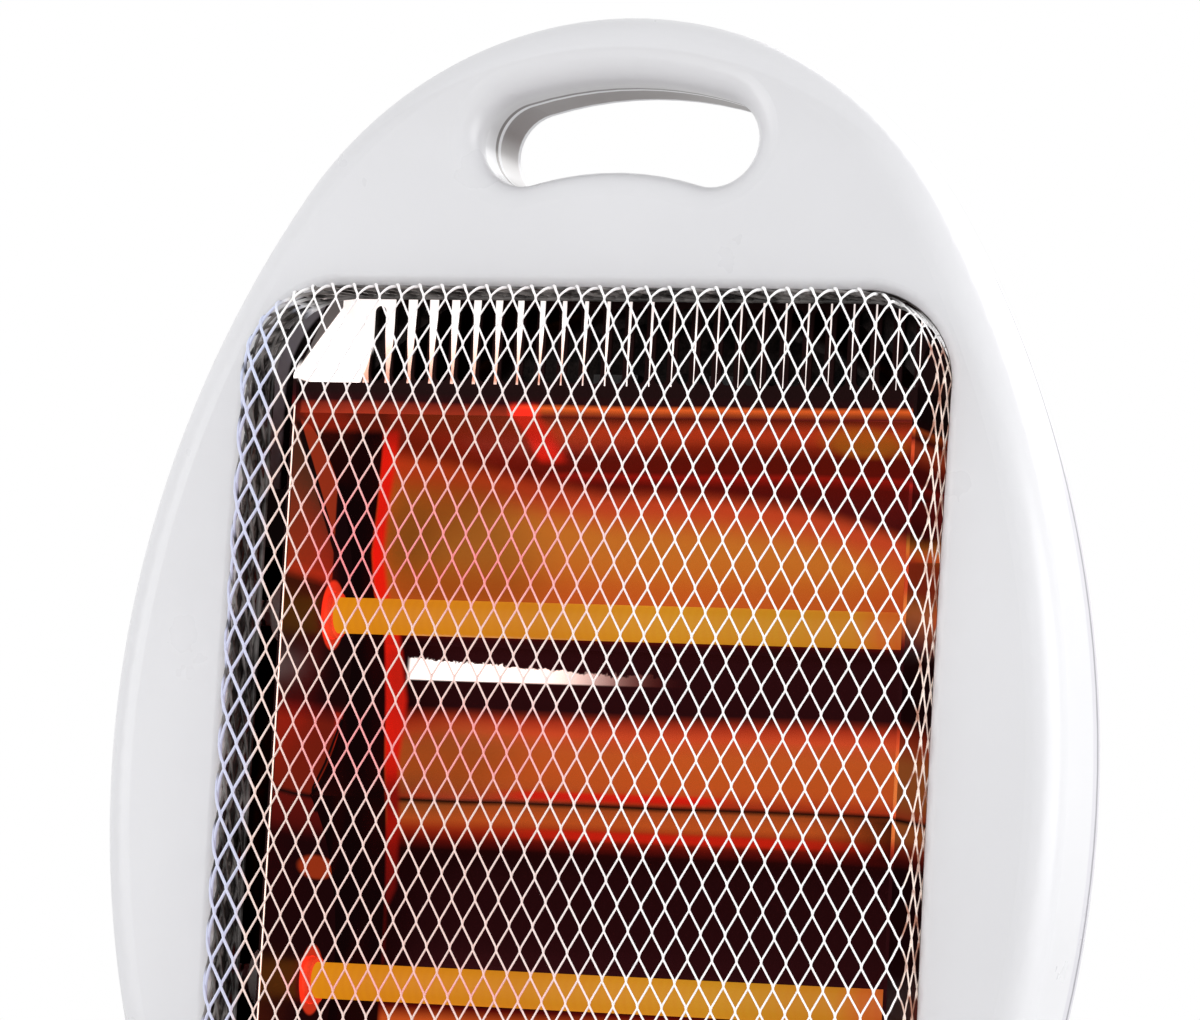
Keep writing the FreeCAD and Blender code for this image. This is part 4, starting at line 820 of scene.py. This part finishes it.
def on_tray(a, b, lift):
    """Point, lifted outwards, and normal for a place on the guard's flat sheet; its way past the front."""
    over_x = abs(a) - (guard_half_width - guard_bend)
    over_z = abs(b) - (guard_half_height - guard_bend)
    corner = guard_corner - guard_bend
    into_x, into_z = over_x + corner, over_z + corner
    if into_x > 0 and into_z > 0:
        length = math.hypot(into_x, into_z)
        over, away_x, away_z = length - corner, into_x / length, into_z / length
    elif over_x > over_z:
        over, away_x, away_z = over_x, 1.0, 0.0
    else:
        over, away_x, away_z = over_z, 0.0, 1.0
    if over <= 0:
        return Vector((a, guard_front_y - lift, window_mid_z + b)), Vector((0, -1, 0)), over
    away_x = math.copysign(away_x, a)
    away_z = math.copysign(away_z, b)
    angle = min(over / guard_bend, math.pi / 2)
    past_bend = max(over - guard_arc, 0.0)
    out = (guard_bend + lift) * math.sin(angle) - over
    y = guard_front_y + guard_bend * (1 - math.cos(angle)) + past_bend - lift * math.cos(angle)
    point = Vector((a + away_x * out, y, window_mid_z + b + away_z * out))
    normal = Vector((away_x * math.sin(angle), -math.cos(angle), away_z * math.sin(angle)))
    return point, normal, over


def knot_place(column, row):
    """x and rise of a crossing on the flat sheet."""
    u = column - middle_column
    v = row - middle_row
    a = column_step * u + column_growth * u * u + shear_growth * u * v + lean_growth * v * v
    b = -row_step * v - row_growth * v * v
    return a, b


def radius_at(a, over):
    """Radius of a strand: it grows over the bend and along the left end of the sheet."""
    turned = max(over / guard_arc, (bold_from_x - a) / bold_over_x)
    turned = min(max(turned, 0.0), 1.0)
    bold = flank_strand_radius if a < right_flank_x else right_strand_radius
    return strand_radius + (bold - strand_radius) * turned


def strand_stops():
    """(down, across) shares of a strand from one knot to the next, without the last."""
    neck_across = neck_share * neck_slope
    bend = [(share, share) for share in bend_stops]
    return [(0.0, 0.0), (neck_share, neck_across), *bend, (1.0 - neck_share, 1.0 - neck_across)]


def strand_paths():
    """Strands of both layers as lists of (point, normal, radius)."""
    half_h = guard_half_height - guard_bend + guard_reach
    half_w = guard_half_width - guard_bend + guard_reach
    first_row = math.floor(middle_row - half_h / row_step) - 1
    last_row = math.ceil(middle_row + half_h / row_step) + 1
    spread = math.ceil(half_w / column_step) + (last_row - first_row)
    stops = strand_stops()
    paths = []
    for lean in (0.5, -0.5):
        lift = 2 * lean * layer_offset - flank_strand_radius
        for k in range(-spread, spread):
            path = []
            for row in range(first_row, last_row):
                start = knot_place(k + lean * row, row)
                end = knot_place(k + lean * (row + 1), row + 1)
                for down, across in stops:
                    a = start[0] + (end[0] - start[0]) * across
                    b = start[1] + (end[1] - start[1]) * down
                    over = on_tray(a, b, 0.0)[2]
                    if over <= 0 and down in bend_stops:
                        continue
                    if over <= guard_reach:
                        point, normal, over = on_tray(a, b, lift)
                        path.append((point, normal, radius_at(a, over)))
                    elif path:
                        paths.append(path)
                        path = []
            if path:
                paths.append(path)
    return [p for p in paths if len(p) > 3]


def ring(bm, centre, side, up):
    """Round ring of points; side and up are its half axes."""
    turns = [2 * math.pi * j / strand_sides for j in range(strand_sides)]
    return [bm.verts.new(centre + side * math.cos(t) + up * math.sin(t)) for t in turns]


def skin(bm, rings):
    """Smooth quads from each ring to the next."""
    for first, second in zip(rings, rings[1:]):
        for j in range(strand_sides):
            k = (j + 1) % strand_sides
            bm.faces.new((first[j], first[k], second[k], second[j])).smooth = True


def strand(bm, path):
    """Round bar along a list of (point, normal, radius), with closed ends."""
    rings = []
    for i, (point, normal, radius) in enumerate(path):
        along = (path[min(i + 1, len(path) - 1)][0] - path[max(i - 1, 0)][0]).normalized()
        side = along.cross(normal).normalized()
        up = side.cross(along).normalized()
        rings.append(ring(bm, point, side * radius, up * radius))
    skin(bm, rings)
    bm.faces.new(list(reversed(rings[0])))
    bm.faces.new(rings[-1])


def weld(bm, centre, up, side, out):
    """Rounded lump with its poles along up."""
    swell = math.sqrt(1.0 - knot_level * knot_level)
    levels = (-knot_level, knot_level)
    rings = [ring(bm, centre + up * level, side * swell, out * swell) for level in levels]
    low = bm.verts.new(centre - up)
    high = bm.verts.new(centre + up)
    skin(bm, rings)
    for j in range(strand_sides):
        k = (j + 1) % strand_sides
        bm.faces.new((rings[0][k], rings[0][j], low)).smooth = True
        bm.faces.new((rings[1][j], rings[1][k], high)).smooth = True


def knots(bm):
    """Small weld at each crossing, longer up the sheet than across it."""
    rows = range(math.floor(middle_row - 2 * guard_half_height / row_step),
                 math.ceil(middle_row + 2 * guard_half_height / row_step))
    columns = math.ceil(2 * guard_half_width / column_step)
    for row in rows:
        for k in range(-columns, columns + 1):
            a, b = knot_place(k + round(middle_column) + (row % 2) * 0.5, row)
            point, normal, over = on_tray(a, b, -flank_strand_radius)
            if over > guard_reach - knot_length:
                continue
            above = on_tray(a, b + strand_radius, -flank_strand_radius)[0]
            up = (above - point).normalized()
            side = up.cross(normal).normalized()
            weld(bm, point, up * knot_length, side * knot_radius, normal * knot_radius)


def hem(bm):
    """Round wire that closes the strands' ends behind the window's lip."""
    corner = guard_corner - hem_radius
    mid_x = guard_half_width - guard_corner
    mid_z = guard_half_height - guard_corner
    corners = ((mid_x, mid_z), (-mid_x, mid_z), (-mid_x, -mid_z), (mid_x, -mid_z))
    loop = []
    for quarter, (x, z) in enumerate(corners):
        for i in range(hem_corner_steps + 1):
            t = math.pi / 2 * (quarter + i / hem_corner_steps)
            loop.append(Vector((x + corner * math.cos(t), guard_flank_end_y,
                                window_mid_z + z + corner * math.sin(t))))
    depth = Vector((0, hem_radius, 0))
    rings = []
    for i, point in enumerate(loop):
        along = (loop[(i + 1) % len(loop)] - loop[i - 1]).normalized()
        rings.append(ring(bm, point, along.cross(Vector((0, -hem_radius, 0))), depth))
    skin(bm, rings + rings[:1])


def mesh_guard():
    """Tray of crossing strands, welded at the knots, with its hem wire at the back of the flanks."""
    bm = bmesh.new()
    for path in strand_paths():
        strand(bm, path)
    knots(bm)
    hem(bm)
    mesh = bpy.data.meshes.new("mesh_guard")
    bmesh.ops.recalc_face_normals(bm, faces=bm.faces)
    bm.to_mesh(mesh)
    bm.free()
    guard = piece("mesh_guard", mesh, slot_materials["guard"])
    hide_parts("grille_mesh", "grille_frame")


mesh_guard()


# Floor, light and camera

def stage_floor():
    """Wide pale floor."""
    paint = Paint("floor_paint")
    paint.put("Base Color", ramp(paint.noise(3.0, 3.0), [(0.3, grey(0.80)), (0.7, grey(0.83))]))
    paint.put("Roughness", 0.6)
    mesh = bpy.data.meshes.new("floor")
    corners = [(x * floor_half, y * floor_half, 0) for x, y in ((-1, -1), (1, -1), (1, 1), (-1, 1))]
    mesh.from_pydata(corners, [], [(0, 1, 2, 3)])
    floor = bpy.data.objects.new("floor", mesh)
    bpy.context.scene.collection.objects.link(floor)
    mesh.materials.append(paint.material)


def area_lamp(name, place, size, power):
    """Soft round lamp aimed at the heater."""
    lamp = bpy.data.lights.new(name, "AREA")
    lamp.shape = "DISK"
    lamp.size = size
    lamp.energy = power
    obj = bpy.data.objects.new(name, lamp)
    obj.location = place
    obj.rotation_euler = (lamp_target - place).to_track_quat("-Z", "Y").to_euler()
    bpy.context.scene.collection.objects.link(obj)


def world_light():
    """Even grey light; the camera, metal and glass see white."""
    world = bpy.data.worlds.new("studio")
    bpy.context.scene.world = world
    world.use_nodes = True
    tree = world.node_tree
    light = tree.nodes["Background"]
    light.inputs["Color"].default_value = (1, 1, 1, 1)
    light.inputs["Strength"].default_value = world_level
    seen = tree.nodes.new("ShaderNodeBackground")
    seen.inputs["Color"].default_value = (1, 1, 1, 1)
    seen.inputs["Strength"].default_value = 1.0
    path = tree.nodes.new("ShaderNodeLightPath")
    rays = [Value(path.outputs["Is " + kind + " Ray"]) for kind in ("Camera", "Glossy", "Transmission")]
    mixed = tree.nodes.new("ShaderNodeMixShader")
    feed(mixed.inputs[0], greater(rays[0], greater(rays[1], rays[2])))
    tree.links.new(light.outputs[0], mixed.inputs[1])
    tree.links.new(seen.outputs[0], mixed.inputs[2])
    tree.links.new(mixed.outputs[0], tree.nodes["World Output"].inputs["Surface"])


def camera():
    """Long lens from the right of the heater, a little below its middle, looking up."""
    yaw, pitch, roll = (math.radians(angle) for angle in (camera_yaw, camera_pitch, camera_roll))
    forward = Vector((-math.sin(yaw) * math.cos(pitch), math.cos(yaw) * math.cos(pitch), math.sin(pitch)))
    level = Vector((math.cos(yaw), math.sin(yaw), 0.0))
    upright = level.cross(forward)
    right = level * math.cos(roll) + upright * math.sin(roll)
    up = upright * math.cos(roll) - level * math.sin(roll)
    data = bpy.data.cameras.new("camera")
    data.sensor_fit = "HORIZONTAL"
    data.sensor_width = 36.0
    data.lens = camera_lens
    obj = bpy.data.objects.new("camera", data)
    turn = Matrix((right, up, -forward)).transposed()
    obj.matrix_world = Matrix.Translation(camera_place) @ turn.to_4x4()
    bpy.context.scene.collection.objects.link(obj)
    bpy.context.scene.camera = obj


stage_floor()
for name, place, size, power in lamps:
    area_lamp(name, place, size, power)
world_light()
camera()
bpy.context.scene.view_settings.view_transform = "Standard"
